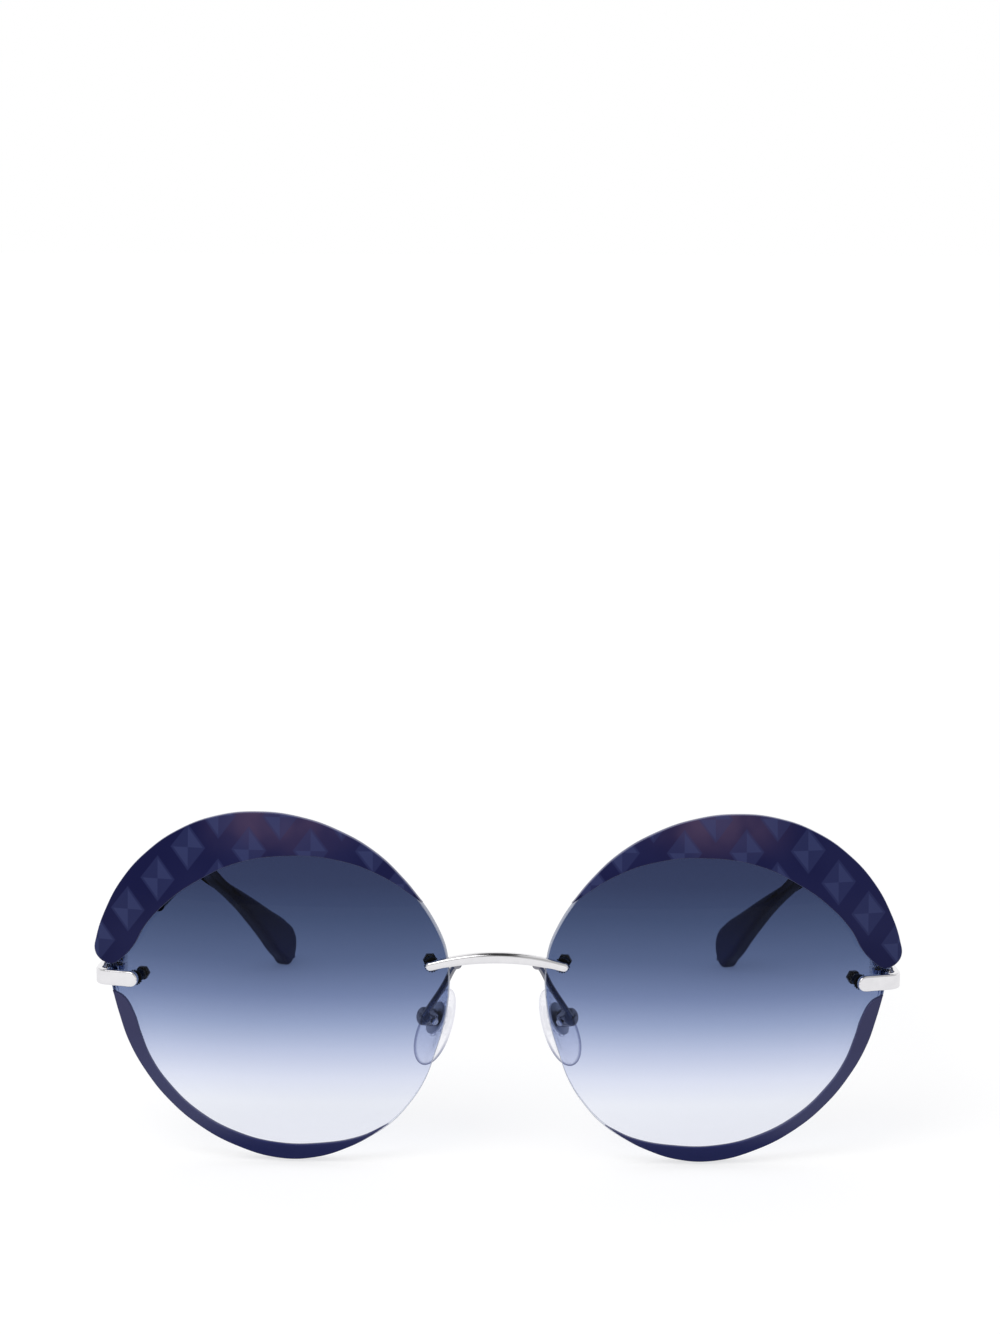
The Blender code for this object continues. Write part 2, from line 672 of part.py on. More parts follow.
def build_temple(side, word, body):
    """The metal arm, its hinge knuckle and the core that runs into the tip."""
    mapping = along(temple_path())
    end = ARM_LENGTH - SEAT_GAP
    outline = (
        (0, -ARM_HEIGHT / 2), (end, ARM_RISE - ARM_END_HEIGHT / 2),
        (end, ARM_RISE + ARM_END_HEIGHT / 2), (0, ARM_HEIGHT / 2),
    )
    shape = blank(outline, ARM_THICKNESS)
    round_edges(shape, METAL_EDGE_RADIUS, METAL_EDGE_STEPS)
    slice_across(shape, TEMPLE_PITCH, 0)
    shape = form(shape, lambda place: mapping(place) + Vector((0, 0, HINGE_HEIGHT)))
    temple = piece(shape, f"temple_{word}", side, body, "metal")
    core = cylinder(CORE_RADIUS, core_line(-CUT_OVERRUN), core_line(CORE_LENGTH))
    join(temple, core, side)
    join(temple, knuckle(-KNUCKLE_MIDDLE / 2, KNUCKLE_MIDDLE / 2), side)
    join(temple, leaf(-KNUCKLE_MIDDLE / 2, KNUCKLE_MIDDLE / 2, 1), side)
    cut(temple, hinge_bore(), side)


def build_temple_tip(side, word, body):
    """The acetate tip: cut from sheet, its edges rounded, then tucked in behind the ear."""
    mapping = along(temple_path())
    outline = [(share[0] * TEMPLE_REACH, share[1] * HINGE_HEIGHT) for share in TIP_SHARES]
    outline[0] = (ARM_LENGTH, outline[0][1])
    outline[-1] = (ARM_LENGTH, outline[-1][1])
    shape = blank(outline, TIP_THICKNESS, TIP_CORNERS)
    round_edges(shape, TIP_EDGE_RADIUS, TIP_EDGE_STEPS)
    slice_across(shape, TEMPLE_PITCH, 0)
    tip = piece(form(shape, mapping), f"temple_tip_{word}", side, body, "tip")
    bore = cylinder(CORE_RADIUS + SEAT_GAP, core_line(-CUT_OVERRUN), core_line(CORE_LENGTH + SEAT_GAP))
    cut(tip, bore, side)


# The nose pads

def pad_frame():
    """At the pad's screw: X runs down the pad, Y along the screw, Z from the box into the pad."""
    down = Vector((math.sin(PAD_SPREAD), 0, -math.cos(PAD_SPREAD)))
    inward = Vector((-math.cos(PAD_SPREAD), 0, -math.sin(PAD_SPREAD)))
    out = inward * math.sin(PAD_TURN) + Vector((0, 1, 0)) * math.cos(PAD_TURN)
    side = out.cross(down)
    turn = Matrix((down, side, out)).transposed().to_4x4()
    centre = Vector((PAD_BOX_X, PAD_BOX_BACK, LENS_CENTRE_Z + ROUND_RADIUS * PAD_BOX_HEIGHT_SHARE))
    return Matrix.Translation(centre) @ turn


PAD_FRAME = pad_frame()


def pad_wire():
    """The bent wire from the bridge's back to the box."""
    root = Vector((PAD_ROOT_X, bridge_middle_back() + bridge_depth(PAD_ROOT_X) / 2 + SEAT_GAP, BRIDGE_HEIGHT))
    end = PAD_FRAME @ Vector((0, 0, BOX_BACK - BOX_BACK_WALL / 2))
    way = end - root
    route = [root]
    for share in PAD_WIRE_SHARES:
        route.append(root + Vector((way.x * share[0], way.y * share[1], way.z * share[2])))
    route.append(end)
    curve = bpy.data.curves.new("pad_wire", "CURVE")
    curve.dimensions = "3D"
    curve.bevel_depth = PAD_WIRE_RADIUS
    curve.bevel_resolution = WIRE_BEVEL_STEPS
    curve.use_fill_caps = True
    spline = curve.splines.new("BEZIER")
    spline.resolution_u = WIRE_LENGTH_STEPS
    spline.bezier_points.add(len(route) - 1)
    for point, place in zip(spline.bezier_points, route):
        point.co = place
        point.handle_left_type = point.handle_right_type = "AUTO"
    return evaluated_mesh(bpy.data.objects.new("pad_wire", curve))


def pad_screw_bore(radius):
    wide = BOX_RADIUS + CUT_OVERRUN
    return cylinder(radius, PAD_FRAME @ Vector((0, -wide, 0)), PAD_FRAME @ Vector((0, wide, 0)))


def build_pad_arm(side, word, body):
    """The wire and the round box that holds the pad's lug."""
    box = cylinder(BOX_RADIUS, PAD_FRAME @ Vector((0, 0, BOX_BACK)), PAD_FRAME @ Vector((0, 0, BOX_FRONT)))
    arm = piece(box, f"pad_arm_{word}", side, body, "metal")
    join(arm, pad_wire(), side)
    rock = LUG_DEPTH * math.sin(PAD_ROCK) + SEAT_GAP
    half_length, half_width = LUG_WIDTH / 2 + rock, LUG_THICKNESS / 2 + SCREW_GAP
    pocket = block((-half_length, -half_width, BOX_BACK + BOX_BACK_WALL),
                   (half_length, half_width, BOX_FRONT + CUT_OVERRUN), PAD_FRAME)
    cut(arm, pocket, side)
    cut(arm, pad_screw_bore(PAD_SCREW_RADIUS + SCREW_GAP), side)


def build_pad_screw(side, word, body):
    frame = PAD_FRAME @ Matrix.Rotation(-math.pi / 2, 4, "X")
    shape, slot = slotted_screw(PAD_SCREW_HEAD_RADIUS, PAD_SCREW_HEAD_HEIGHT, PAD_SCREW_RADIUS,
                                BOX_RADIUS + SCREW_GAP, -BOX_RADIUS, frame)
    screw = piece(shape, f"pad_screw_{word}", side, body, "metal")
    cut(screw, slot, side)


def oval(half_length, half_width, low, high):
    """An oval disc in the pad's frame."""
    shape = cylinder(1.0, (0, 0, low), (0, 0, high))
    bmesh.ops.scale(shape, vec=(half_length, half_width, 1.0), verts=shape.verts)
    shape.transform(PAD_FRAME)
    return shape


def build_pad(side, word, body):
    """The pad and the coin with the lug that carries it."""
    low = BOX_FRONT + COIN_STAND_OFF
    coin = piece(oval(COIN_HALF_LENGTH, COIN_HALF_WIDTH, low, low + COIN_THICKNESS),
                 f"pad_insert_{word}", side, body, "metal")
    lug = block((-LUG_WIDTH / 2, -LUG_THICKNESS / 2, -LUG_DEPTH),
                (LUG_WIDTH / 2, LUG_THICKNESS / 2, low + COIN_THICKNESS / 2), PAD_FRAME)
    join(coin, lug, side)
    cut(coin, pad_screw_bore(PAD_SCREW_RADIUS + SCREW_GAP), side)
    shape = bmesh.new()
    bmesh.ops.create_uvsphere(shape, u_segments=ROUND_SIDES, v_segments=PAD_RINGS, radius=1.0)
    for vertex in shape.verts:
        along_pad, across, up = vertex.co
        swell = 1 + PAD_TAPER_SHARE * along_pad
        vertex.co = (along_pad * PAD_LENGTH / 2 + PAD_DROP, across * PAD_WIDTH / 2 * swell,
                     up * PAD_THICKNESS / 2 + low + PAD_THICKNESS / 2)
    shape.transform(PAD_FRAME)
    pad = piece(shape, f"nose_pad_{word}", side, body, "pad")
    recess = oval(COIN_HALF_LENGTH + SEAT_GAP, COIN_HALF_WIDTH + SEAT_GAP, low - CUT_OVERRUN,
                  low + COIN_THICKNESS + SEAT_GAP)
    cut(pad, recess, side)


def stand_on_origin(front):
    """Moves everything so that the origin is under the middle of the whole object."""
    bpy.context.view_layer.update()
    depsgraph = bpy.context.evaluated_depsgraph_get()
    corners = []
    for made in parts.objects:
        if made.type == "MESH":
            final = made.evaluated_get(depsgraph)
            corners += [final.matrix_world @ Vector(corner) for corner in final.bound_box]
    low = [min(corner[axis] for corner in corners) for axis in range(3)]
    high = [max(corner[axis] for corner in corners) for axis in range(3)]
    front.location = (-(low[0] + high[0]) / 2, -(low[1] + high[1]) / 2, -low[2])


def main():
    front = pivot("front", (0, 0, 0), 1)
    build_bridge(front)
    for word, side in SIDES:
        build_lens(side, word, front)
        build_bands(side, word, front)
        build_fixings(side, word, front, "bridge", BRIDGE_SEAT)
        build_fixings(side, word, front, "end_piece", END_SEAT)
        build_end_piece(side, word, front)
        build_hinge_screw(side, word, front)
        build_pad_arm(side, word, front)
        build_pad_screw(side, word, front)
        hinge = pivot(f"temple_hinge_{word}", (HINGE_X, HINGE_BACK, HINGE_HEIGHT), side)
        build_temple(side, word, hinge)
        build_temple_tip(side, word, hinge)
        rocker = pivot(f"pad_rock_{word}", PAD_FRAME.translation, side)
        build_pad(side, word, rocker)
        hinge.parent = front
        rocker.parent = front
    stand_on_origin(front)


main()
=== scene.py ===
"""The looks of the round rimless sunglasses, in metres.

The front faces -Y and left is the wearer's left, at +X. Plates start as flat blanks with rounded rims and
are then formed, as the real ones are: lenses and bands over a sphere, tips along the bent temple. Each piece
is worked out for the left side and mirrored.
"""
import json
import math

import bmesh
import bpy
from mathutils import Matrix, Vector


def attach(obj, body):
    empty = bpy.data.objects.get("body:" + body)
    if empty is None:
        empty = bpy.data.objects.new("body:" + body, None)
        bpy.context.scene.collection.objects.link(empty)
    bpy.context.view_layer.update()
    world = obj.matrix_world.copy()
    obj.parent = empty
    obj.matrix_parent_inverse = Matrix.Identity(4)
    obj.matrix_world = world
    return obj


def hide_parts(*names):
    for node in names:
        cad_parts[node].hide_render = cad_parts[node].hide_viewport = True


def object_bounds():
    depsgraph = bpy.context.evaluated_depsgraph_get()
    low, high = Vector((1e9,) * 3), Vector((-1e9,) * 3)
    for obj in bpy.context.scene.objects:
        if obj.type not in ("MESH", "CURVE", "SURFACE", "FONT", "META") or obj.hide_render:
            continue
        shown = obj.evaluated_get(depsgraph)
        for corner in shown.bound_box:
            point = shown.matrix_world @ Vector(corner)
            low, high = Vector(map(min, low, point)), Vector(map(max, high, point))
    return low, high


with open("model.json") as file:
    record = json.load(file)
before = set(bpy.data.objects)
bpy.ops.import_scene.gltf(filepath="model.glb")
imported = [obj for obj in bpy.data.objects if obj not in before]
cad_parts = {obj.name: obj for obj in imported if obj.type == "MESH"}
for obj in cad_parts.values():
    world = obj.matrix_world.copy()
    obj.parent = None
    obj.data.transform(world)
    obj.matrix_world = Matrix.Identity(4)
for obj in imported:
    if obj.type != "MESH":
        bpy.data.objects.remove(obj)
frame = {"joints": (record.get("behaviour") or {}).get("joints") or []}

CAD_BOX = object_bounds()

# Lenses and bands, and half the gap between the lenses for the nose
ROUND_RADIUS = 0.0306
NOSE_HALF_WIDTH = 0.0082
BASE_RADIUS = 0.130
WRAP_ANGLE = math.radians(5)
LENS_THICKNESS = 0.0020
BAND_THICKNESS = 0.0010
BROW_OVERHANG = 0.0006
LENS_RIM = 0.0004
LENS_EDGE_RADIUS = 0.00030
BAND_EDGE_RADIUS = 0.00018

# Fits
SEAT_GAP = 0.0003
SCREW_GAP = 0.00015
OVERRUN = 0.0010

# Mounts of the metal on the lenses
POST_RADIUS = 0.00050
SLEEVE_RADIUS = 0.00090
FLANGE_RADIUS = 0.00135
FLANGE_THICKNESS = 0.00040
NUT_RADIUS = 0.00125
NUT_HEIGHT = 0.0012
NUT_SIDES = 6
NUT_EASE = 0.00012
THREAD_PITCH = 0.00025
THREAD_DEPTH = 0.00006
THREAD_ROOT_SHARE = 0.1
THREAD_CREST_SHARE = 0.5
THREAD_END_SHARE = 0.3
ROD_TIP_SHARE = 0.6
RIB_COUNT = 18
RIB_WIDTH = 0.00018
RIB_REACH = 0.00016
RIB_HEIGHT_SHARE = 0.8
SMALL_EASE = 0.00008
EASE_SHARES = (0.0, 0.33, 0.67, 1.0)

# Bridge
BRIDGE_OVERLAP = 0.0039
BRIDGE_RISE = 0.0016
BRIDGE_END_HEIGHT = 0.0015
BRIDGE_MIDDLE_HEIGHT = 0.0018
BRIDGE_END_DEPTH = 0.0012
BRIDGE_MIDDLE_DEPTH = 0.0020
BRIDGE_POST_INSET = 0.00075
BRIDGE_EDGE_RADIUS = 0.00040

# End pieces, with their places inward from the lens's outer edge
END_HEIGHT = 0.0027
END_THICKNESS = 0.0011
END_INNER_INSET = 0.0080
END_CORNER_INSET = 0.0007
END_REAR_INSET = 0.0015
END_BEND_RADIUS = 0.0020
END_POST_INSET = 0.0007
METAL_EDGE_RADIUS = 0.00030

# Temple hinges
HINGE_STAND_BACK = 0.0058
HINGE_INSET = 0.0022
KNUCKLE_RADIUS = 0.0014
KNUCKLE_MIDDLE = 0.0012
KNUCKLE_OUTER = 0.0009
LEAF_LENGTH = 0.0026
HINGE_PIN_RADIUS = 0.00050
SCREW_HEAD_RADIUS = 0.00095
SCREW_HEAD_HEIGHT = 0.00050
SCREW_SLOT = 0.00025
HEAD_TOP_SHARE = 0.9
HEAD_EASE_SHARE = 0.6

# Temples
TEMPLE_REACH = 0.1240
TEMPLE_SPLAY = math.radians(5)
TIP_TUCK = math.radians(22)
TUCK_START = 0.080
TUCK_LENGTH = 0.014
ARM_LENGTH = 0.0380
ARM_HEIGHT = 0.0027
ARM_END_HEIGHT = 0.0022
ARM_THICKNESS = 0.0012
ARM_RISE = 0.0014
CORE_RADIUS = 0.0005
CORE_LENGTH = 0.0280
CORE_DIP = math.radians(1.8)
TIP_THICKNESS = 0.0034
TIP_EDGE_RADIUS = 0.0010

# Nose pads
PAD_WIRE_RADIUS = 0.00055
SOLDER_RADIUS = 0.00085
SOLDER_SHARES = (1.0, 0.8, 0.9)
BOX_RADIUS = 0.00160
BOX_DEPTH = 0.0024
BOX_BACK_WALL = 0.0006
BOX_EASE = 0.00024
LUG_WIDTH = 0.0017
LUG_THICKNESS = 0.0008
LUG_DEPTH = 0.00065
PAD_SCREW_RADIUS = 0.00035
PAD_SCREW_HEAD_RADIUS = 0.00065
PAD_SCREW_HEAD_HEIGHT = 0.00035
PAD_ROCK = math.radians(8)
COIN_HALF_LENGTH = 0.0030
COIN_HALF_WIDTH = 0.0018
COIN_THICKNESS = 0.0005
COIN_STAND_OFF = 0.0006
PAD_LENGTH = 0.0143
PAD_WIDTH = 0.0075
PAD_THICKNESS = 0.0022
PAD_DROP = 0.0016
PAD_TAPER_SHARE = 0.16
PAD_RIM_SHARE = 0.34
PAD_RIM_SLOPE = 6.0
PAD_SPREAD = math.radians(23)
PAD_TURN = math.radians(48)
PAD_ROOT_INSET = 0.0014

# Outlines of the front, as shares of ROUND_RADIUS outward and upward from the lens's centre
BROW_INNER_SHARES = (
    (0.894, 0.148), (0.821, 0.196), (0.766, 0.258), (0.700, 0.373), (0.575, 0.511), (0.405, 0.636),
    (0.170, 0.748), (-0.120, 0.793), (-0.380, 0.773), (-0.611, 0.694),
)
BROW_OUTER_SHARES = (
    (-0.851, 0.539), (-0.747, 0.667), (-0.586, 0.817), (-0.383, 0.932), (-0.173, 1.001),
    (0.060, 1.026), (0.300, 0.997), (0.515, 0.913), (0.693, 0.787), (0.836, 0.628), (0.936, 0.446),
    (0.989, 0.290), (0.998, 0.218), (0.971, 0.172), (0.924, 0.149),
)
NASAL_EDGE_SHARES = (
    (-0.944, 0.344), (-0.988, 0.174), (-0.989, 0.000), (-0.963, -0.170),
    (-0.915, -0.333), (-0.856, -0.494), (-0.763, -0.641), (-0.666, -0.747),
)
LOWER_INNER_SHARES = (
    (-0.497, -0.816), (-0.258, -0.861), (-0.039, -0.863), (0.186, -0.811), (0.411, -0.692),
    (0.577, -0.534), (0.677, -0.387), (0.734, -0.241), (0.768, -0.133), (0.825, -0.040),
)
LOWER_OUTER_SHARES = (
    (0.905, -0.007), (0.871, -0.134), (0.814, -0.304), (0.720, -0.474), (0.589, -0.639),
    (0.418, -0.785), (0.210, -0.898), (-0.049, -0.968), (-0.257, -0.955), (-0.426, -0.897),
    (-0.556, -0.826), (-0.666, -0.747),
)
LENS_EAR_SHARES = ((0.915, 0.059),)
LOWEST_SHARE = 0.974
END_HEIGHT_SHARE = 0.072
BRIDGE_HEIGHT_SHARE = 0.188

# Outline of a temple tip, as shares of TEMPLE_REACH along it and of the hinge's height above the table
TIP_SHARES = (
    (0.306, 1.091), (0.450, 1.080), (0.565, 1.040), (0.645, 0.972), (0.694, 0.883), (0.726, 0.816),
    (0.831, 0.601), (0.903, 0.446), (0.965, 0.310), (0.994, 0.215), (1.000, 0.120), (0.990, 0.035),
    (0.972, 0.000), (0.951, 0.060), (0.927, 0.134), (0.903, 0.222), (0.855, 0.385), (0.806, 0.540),
    (0.726, 0.752), (0.677, 0.862), (0.610, 0.925), (0.510, 0.970), (0.400, 0.991), (0.306, 0.994),
)
TIP_END_INDEX = 12

# Route of a pad arm from the bridge to its box, as shares of the way outward, back and down
PAD_WIRE_SHARES = (
    (0.0, 0.40, 0.02), (0.0, 0.78, 0.06), (0.12, 1.02, 0.17), (0.365, 1.10, 0.47), (0.71, 1.05, 0.80),
)

# Fineness of the meshes
OUTLINE_STEPS = 16
LENGTH_STEPS = 160
LENS_ACROSS_STEPS = 26
BAND_ACROSS_STEPS = 8
BAR_ACROSS_STEPS = 4
ARCH_STEPS = 10
QUARTER_STEPS = 4
BEND_STEPS = 16
EASE_STEPS = 3
WIRE_BEVEL_STEPS = 6
ROUND_SIDES = 40
PAD_SIDES = 56
PAD_RINGS = 28
RIM_INSETS = (0.0, 0.03, 0.13, 0.30, 0.55, 1.0, 1.6)
RIM_RISES = (1.0, 0.75, 0.50, 0.29, 0.11, 0.0, 0.0)
BOTH_RIMS = (0.0, 1.0)
OUTER_RIM = (0.0,)
HIGHLIGHT_INSET_SHARE = 0.5
SMOOTH_ANGLE = math.radians(40)
ROUND_TIP = 1000.0
POINTED_TIP = 0.27
WELD = 0.000002
MIRROR = Matrix.Diagonal((-1.0, 1.0, 1.0, 1.0))

# The tint of a lens, from its lowest place to its highest, as its colour against white
TINT = (
    (0.0000, (238, 239, 245)), (0.0060, (240, 242, 249)), (0.0105, (238, 241, 249)),
    (0.0150, (220, 225, 242)), (0.0200, (187, 196, 223)), (0.0250, (148, 162, 196)),
    (0.0300, (113, 128, 166)), (0.0360, (84, 99, 135)), (0.0430, (63, 77, 111)),
    (0.0490, (51, 61, 93)), (0.0600, (44, 51, 83)),
)
TINT_TOP = 0.060

# The bands: a painted plum reflection round one place high in the brow, and lower tones, each from one
# height down to another
PLUM_REFLECTION_HEIGHTS = (0.0520, 0.0600)
PLUM_REFLECTION_OUTWARD = 0.037
PLUM_REFLECTION_REACHES = (0.016, 0.002)
LOWER_TONES = (
    (0.0340, 0.0290, (66, 67, 103)), (0.0240, 0.0140, (72, 75, 112)), (0.0085, 0.0022, (33, 39, 90)),
)

# The brow's pattern: staggered lozenges in quarters of two tones, fading in between two heights
LOZENGE_PITCHES = (0.0105, 0.0110)
LOZENGE_HALF_SIZES = (0.0031, 0.0040)
LOZENGE_TONES = ((52, 59, 104), (63, 71, 116))
LOZENGE_STRENGTH = 0.46
QUARTER_EDGE = 0.00000002
PATTERN_HEIGHTS = (0.0290, 0.0345)

# Heights between which a painted blue sheen grows on a tip, and places outward between which a pad's painted
# edge shade grows stronger
TIP_SHEEN_HEIGHTS = (0.030, 0.004)
PAD_EDGE_SHADE_PLACES = (0.0078, 0.0100)

WHITE = (1.0, 1.0, 1.0, 1.0)


# Nodes of the materials and of Geometry Nodes

def add_node(tree, kind, links=None, **settings):
    """A node with its settings, and each input in links given a value or another node's socket."""
    made = tree.nodes.new(kind)
    for name, value in settings.items():
        setattr(made, name, value)
    for socket, value in (links or {}).items():
        if isinstance(value, bpy.types.NodeSocket):
            tree.links.new(value, made.inputs[socket])
        else:
            made.inputs[socket].default_value = value
    return made


def maths(tree, operation, first, second=0.0):
    return add_node(tree, "ShaderNodeMath", {0: first, 1: second}, operation=operation).outputs[0]


def times(tree, first, *others):
    """The product of values."""
    for other in others:
        first = maths(tree, "MULTIPLY", first, other)
    return first


def from_range(tree, value, low, high, to_low=0.0, to_high=1.0, kind="SMOOTHSTEP"):
    links = {"Value": value, "From Min": low, "From Max": high, "To Min": to_low, "To Max": to_high}
    return add_node(tree, "ShaderNodeMapRange", links, interpolation_type=kind).outputs["Result"]


def axes_of(tree, vector):
    return add_node(tree, "ShaderNodeSeparateXYZ", {"Vector": vector}).outputs


def linear(colour):
    """A colour given in 0 to 255 as a screen shows it, as the light it stands for."""
    shares = [value / 255 for value in colour]
    light = [share / 12.92 if share <= 0.04045 else ((share + 0.055) / 1.055) ** 2.4 for share in shares]
    return (*light, 1.0)


def mixed(tree, share, first, second):
    """One colour mixed with another, by a share from 0 to 1."""
    return add_node(tree, "ShaderNodeMix", {0: share, 6: first, 7: second}, data_type="RGBA").outputs[2]


def object_places(tree):
    return tree.nodes.new("ShaderNodeTexCoord").outputs["Object"]


def noise(tree, places, scale, detail=2.0):
    links = {"Vector": places, "Scale": scale, "Detail": detail}
    return add_node(tree, "ShaderNodeTexNoise", links).outputs["Fac"]


def bumped(tree, height, strength, distance):
    links = {"Height": height, "Strength": strength, "Distance": distance}
    return add_node(tree, "ShaderNodeBump", links).outputs["Normal"]


def facing(tree):
    """0 on a face seen square on, rising to 1 on one seen edge on."""
    return add_node(tree, "ShaderNodeLayerWeight", {"Blend": 0.5}).outputs["Facing"]


def rim_share(tree):
    """1 on the rounded rim of a plate or pad and 0 on its faces, where lens and band get a painted highlight
    and a pad painted shade.
    """
    return add_node(tree, "ShaderNodeAttribute", attribute_name="rim").outputs["Fac"]


def shader(tree, kind, links):
    return add_node(tree, "ShaderNodeBsdf" + kind, links).outputs[0]


def blended(tree, share, first, second):
    """One shader blended with another, by a share from 0 to 1."""
    return add_node(tree, "ShaderNodeMixShader", {0: share, 1: first, 2: second}).outputs[0]


# Materials

def lens_surface(tree):
    """Clear plastic with a tint that fades downward, and a polished rim with a painted highlight, mixed
    paler and opaque.
    """
    places = object_places(tree)
    height = maths(tree, "DIVIDE", axes_of(tree, places)["Z"], TINT_TOP)
    ramp = add_node(tree, "ShaderNodeValToRGB", {"Fac": height})
    while len(ramp.color_ramp.elements) < len(TINT):
        ramp.color_ramp.elements.new(1.0)
    for element, (place, colour) in zip(ramp.color_ramp.elements, TINT):
        element.position = place / TINT_TOP
        element.color = [math.sqrt(value) for value in linear(colour)]
    tint = ramp.outputs["Color"]
    wear = from_range(tree, noise(tree, places, 900.0), 0.4, 0.8, 0.02, 0.05)
    gloss = shader(tree, "Glossy", {"Color": WHITE, "Roughness": wear})
    mirror = from_range(tree, maths(tree, "POWER", facing(tree), 5.0), 0.0, 1.0, 0.008, 0.22, "LINEAR")
    body = blended(tree, mirror, shader(tree, "Transparent", {"Color": tint}), gloss)
    # painted highlight: the rim is painted paler and opaque, for light caught by the lens's polished edge
    pale = mixed(tree, 0.45, tint, linear((214, 217, 232)))
    edge = shader(tree, "Principled", {"Base Color": pale, "Roughness": 0.25})
    return blended(tree, times(tree, rim_share(tree), 0.70), body, edge)


def lozenges(tree, axes, shift):
    """How much a place lies in a lozenge of one lattice, and in a light quarter of it."""
    places = []
    sides = []
    for axis, pitch, half_size in zip("XZ", LOZENGE_PITCHES, LOZENGE_HALF_SIZES):
        moved = maths(tree, "ADD", axes[axis], pitch * shift)
        wrap = add_node(tree, "ShaderNodeMath", {0: moved, 1: pitch / 2, 2: -pitch / 2}, operation="WRAP")
        places.append(wrap.outputs[0])
        sides.append(maths(tree, "DIVIDE", maths(tree, "ABSOLUTE", places[-1]), half_size))
    reach = maths(tree, "ADD", *sides)
    quarter = from_range(tree, times(tree, *places), -QUARTER_EDGE, QUARTER_EDGE)
    return from_range(tree, reach, 1.0, 0.93), times(tree, from_range(tree, reach, 0.86, 0.80), quarter)


def band_surface(tree):
    """Glossy navy plate: a painted plum reflection and faint lozenges in the brow, paler and plain in the
    lower band, and painted highlights on its rims.
    """
    places = object_places(tree)
    axes = axes_of(tree, places)
    cloud = from_range(tree, noise(tree, places, 55.0), 0.35, 0.7)
    colour = mixed(tree, cloud, linear((19, 22, 68)), linear((29, 32, 77)))
    # painted reflection: a plum patch high in the brow, for a reflection on the glossy band
    outward = maths(tree, "SUBTRACT", maths(tree, "ABSOLUTE", axes["X"]), PLUM_REFLECTION_OUTWARD)
    plum_reflection = times(tree, from_range(tree, axes["Z"], *PLUM_REFLECTION_HEIGHTS),
                 from_range(tree, maths(tree, "ABSOLUTE", outward), *PLUM_REFLECTION_REACHES),
                 from_range(tree, noise(tree, places, 130.0), 0.30, 0.65, 0.35, 0.95))
    colour = mixed(tree, plum_reflection, colour, linear((76, 61, 92)))
    for start, end, tone in LOWER_TONES:
        colour = mixed(tree, from_range(tree, axes["Z"], start, end), colour, linear(tone))
    brow = from_range(tree, axes["Z"], *PATTERN_HEIGHTS)
    for marks, tone in zip(zip(lozenges(tree, axes, 0.0), lozenges(tree, axes, 0.5)), LOZENGE_TONES):
        share = times(tree, maths(tree, "MAXIMUM", *marks), brow, LOZENGE_STRENGTH)
        colour = mixed(tree, share, colour, linear(tone))
    # painted highlight: the band's rims are painted paler, for light caught by its edges
    colour = mixed(tree, times(tree, rim_share(tree), 0.60), colour, linear((116, 118, 150)))
    return shader(tree, "Principled", {"Base Color": colour, "Roughness": 0.12, "Specular IOR Level": 0.10})


def metal_surface(tree, low, high, smooth=0.08, rough=0.16):
    """Polished metal with fine polishing lines, between a darker and a lighter tone."""
    places = object_places(tree)
    cloud = noise(tree, places, 700.0, 4.0)
    return shader(tree, "Principled", {
        "Base Color": mixed(tree, cloud, linear(low), linear(high)), "Metallic": 1.0,
        "Roughness": from_range(tree, cloud, 0.3, 0.75, smooth, rough),
        "Normal": bumped(tree, noise(tree, places, 2600.0), 0.04, 0.00002)})


def bushing_surface(tree):
    """Black plastic with a satin surface."""
    grain = noise(tree, object_places(tree), 3000.0, 3.0)
    return shader(tree, "Principled", {
        "Base Color": mixed(tree, grain, linear((3, 3, 4)), linear((10, 10, 12))), "Roughness": 0.35,
        "Specular IOR Level": 0.08, "Normal": bumped(tree, grain, 0.2, 0.00003)})


def tip_surface(tree):
    """Polished acetate, so dark a blue that it is nearly black, with a slight cloudiness and a painted blue
    sheen towards its lower end.
    """
    places = object_places(tree)
    cloud = from_range(tree, noise(tree, places, 120.0, 5.0), 0.4, 0.75)
    dark = mixed(tree, cloud, linear((6, 9, 32)), linear((12, 18, 54)))
    # painted sheen: the tip is painted bluer towards its lower end, for a lit sheen on the glossy acetate
    low = from_range(tree, axes_of(tree, places)["Z"], *TIP_SHEEN_HEIGHTS)
    colour = mixed(tree, times(tree, low, 0.90), dark, linear((22, 42, 108)))
    return shader(tree, "Principled", {"Base Color": colour, "Roughness": 0.13, "Specular IOR Level": 0.11})


def pad_surface(tree):
    """Clear soft plastic, nearly unseen face on, with painted shade where it turns edge on and at its rim,
    most of all away from the nose.
    """
    # painted shade: the pad is painted darker where it turns edge on and at its rim, most of all away from
    # the nose
    outward = maths(tree, "ABSOLUTE", axes_of(tree, object_places(tree))["X"])
    depth = from_range(tree, outward, *PAD_EDGE_SHADE_PLACES, 0.12, 1.0)
    edge_shade = times(tree, from_range(tree, facing(tree), 0.74, 1.0), depth)
    colour = mixed(tree, edge_shade, linear((252, 252, 254)), linear((150, 154, 176)))
    colour = mixed(tree, times(tree, rim_share(tree), depth, 0.9), colour, linear((158, 162, 184)))
    clear = shader(tree, "Transparent", {"Color": colour})
    gloss = shader(tree, "Glossy", {"Color": WHITE, "Roughness": 0.08})
    milk = shader(tree, "Diffuse", {"Color": linear((205, 210, 226))})
    mirror = times(tree, add_node(tree, "ShaderNodeFresnel", {"IOR": 1.42}).outputs["Fac"], 0.25)
    return blended(tree, mirror, blended(tree, 0.015, clear, milk), gloss)


def new_material(name, surface, *values):
    """A material with the surface that a function makes in its tree."""
    material = bpy.data.materials.new(name)
    material.use_nodes = True
    tree = material.node_tree
    tree.nodes.clear()
    add_node(tree, "ShaderNodeOutputMaterial", {"Surface": surface(tree, *values)})
    return material


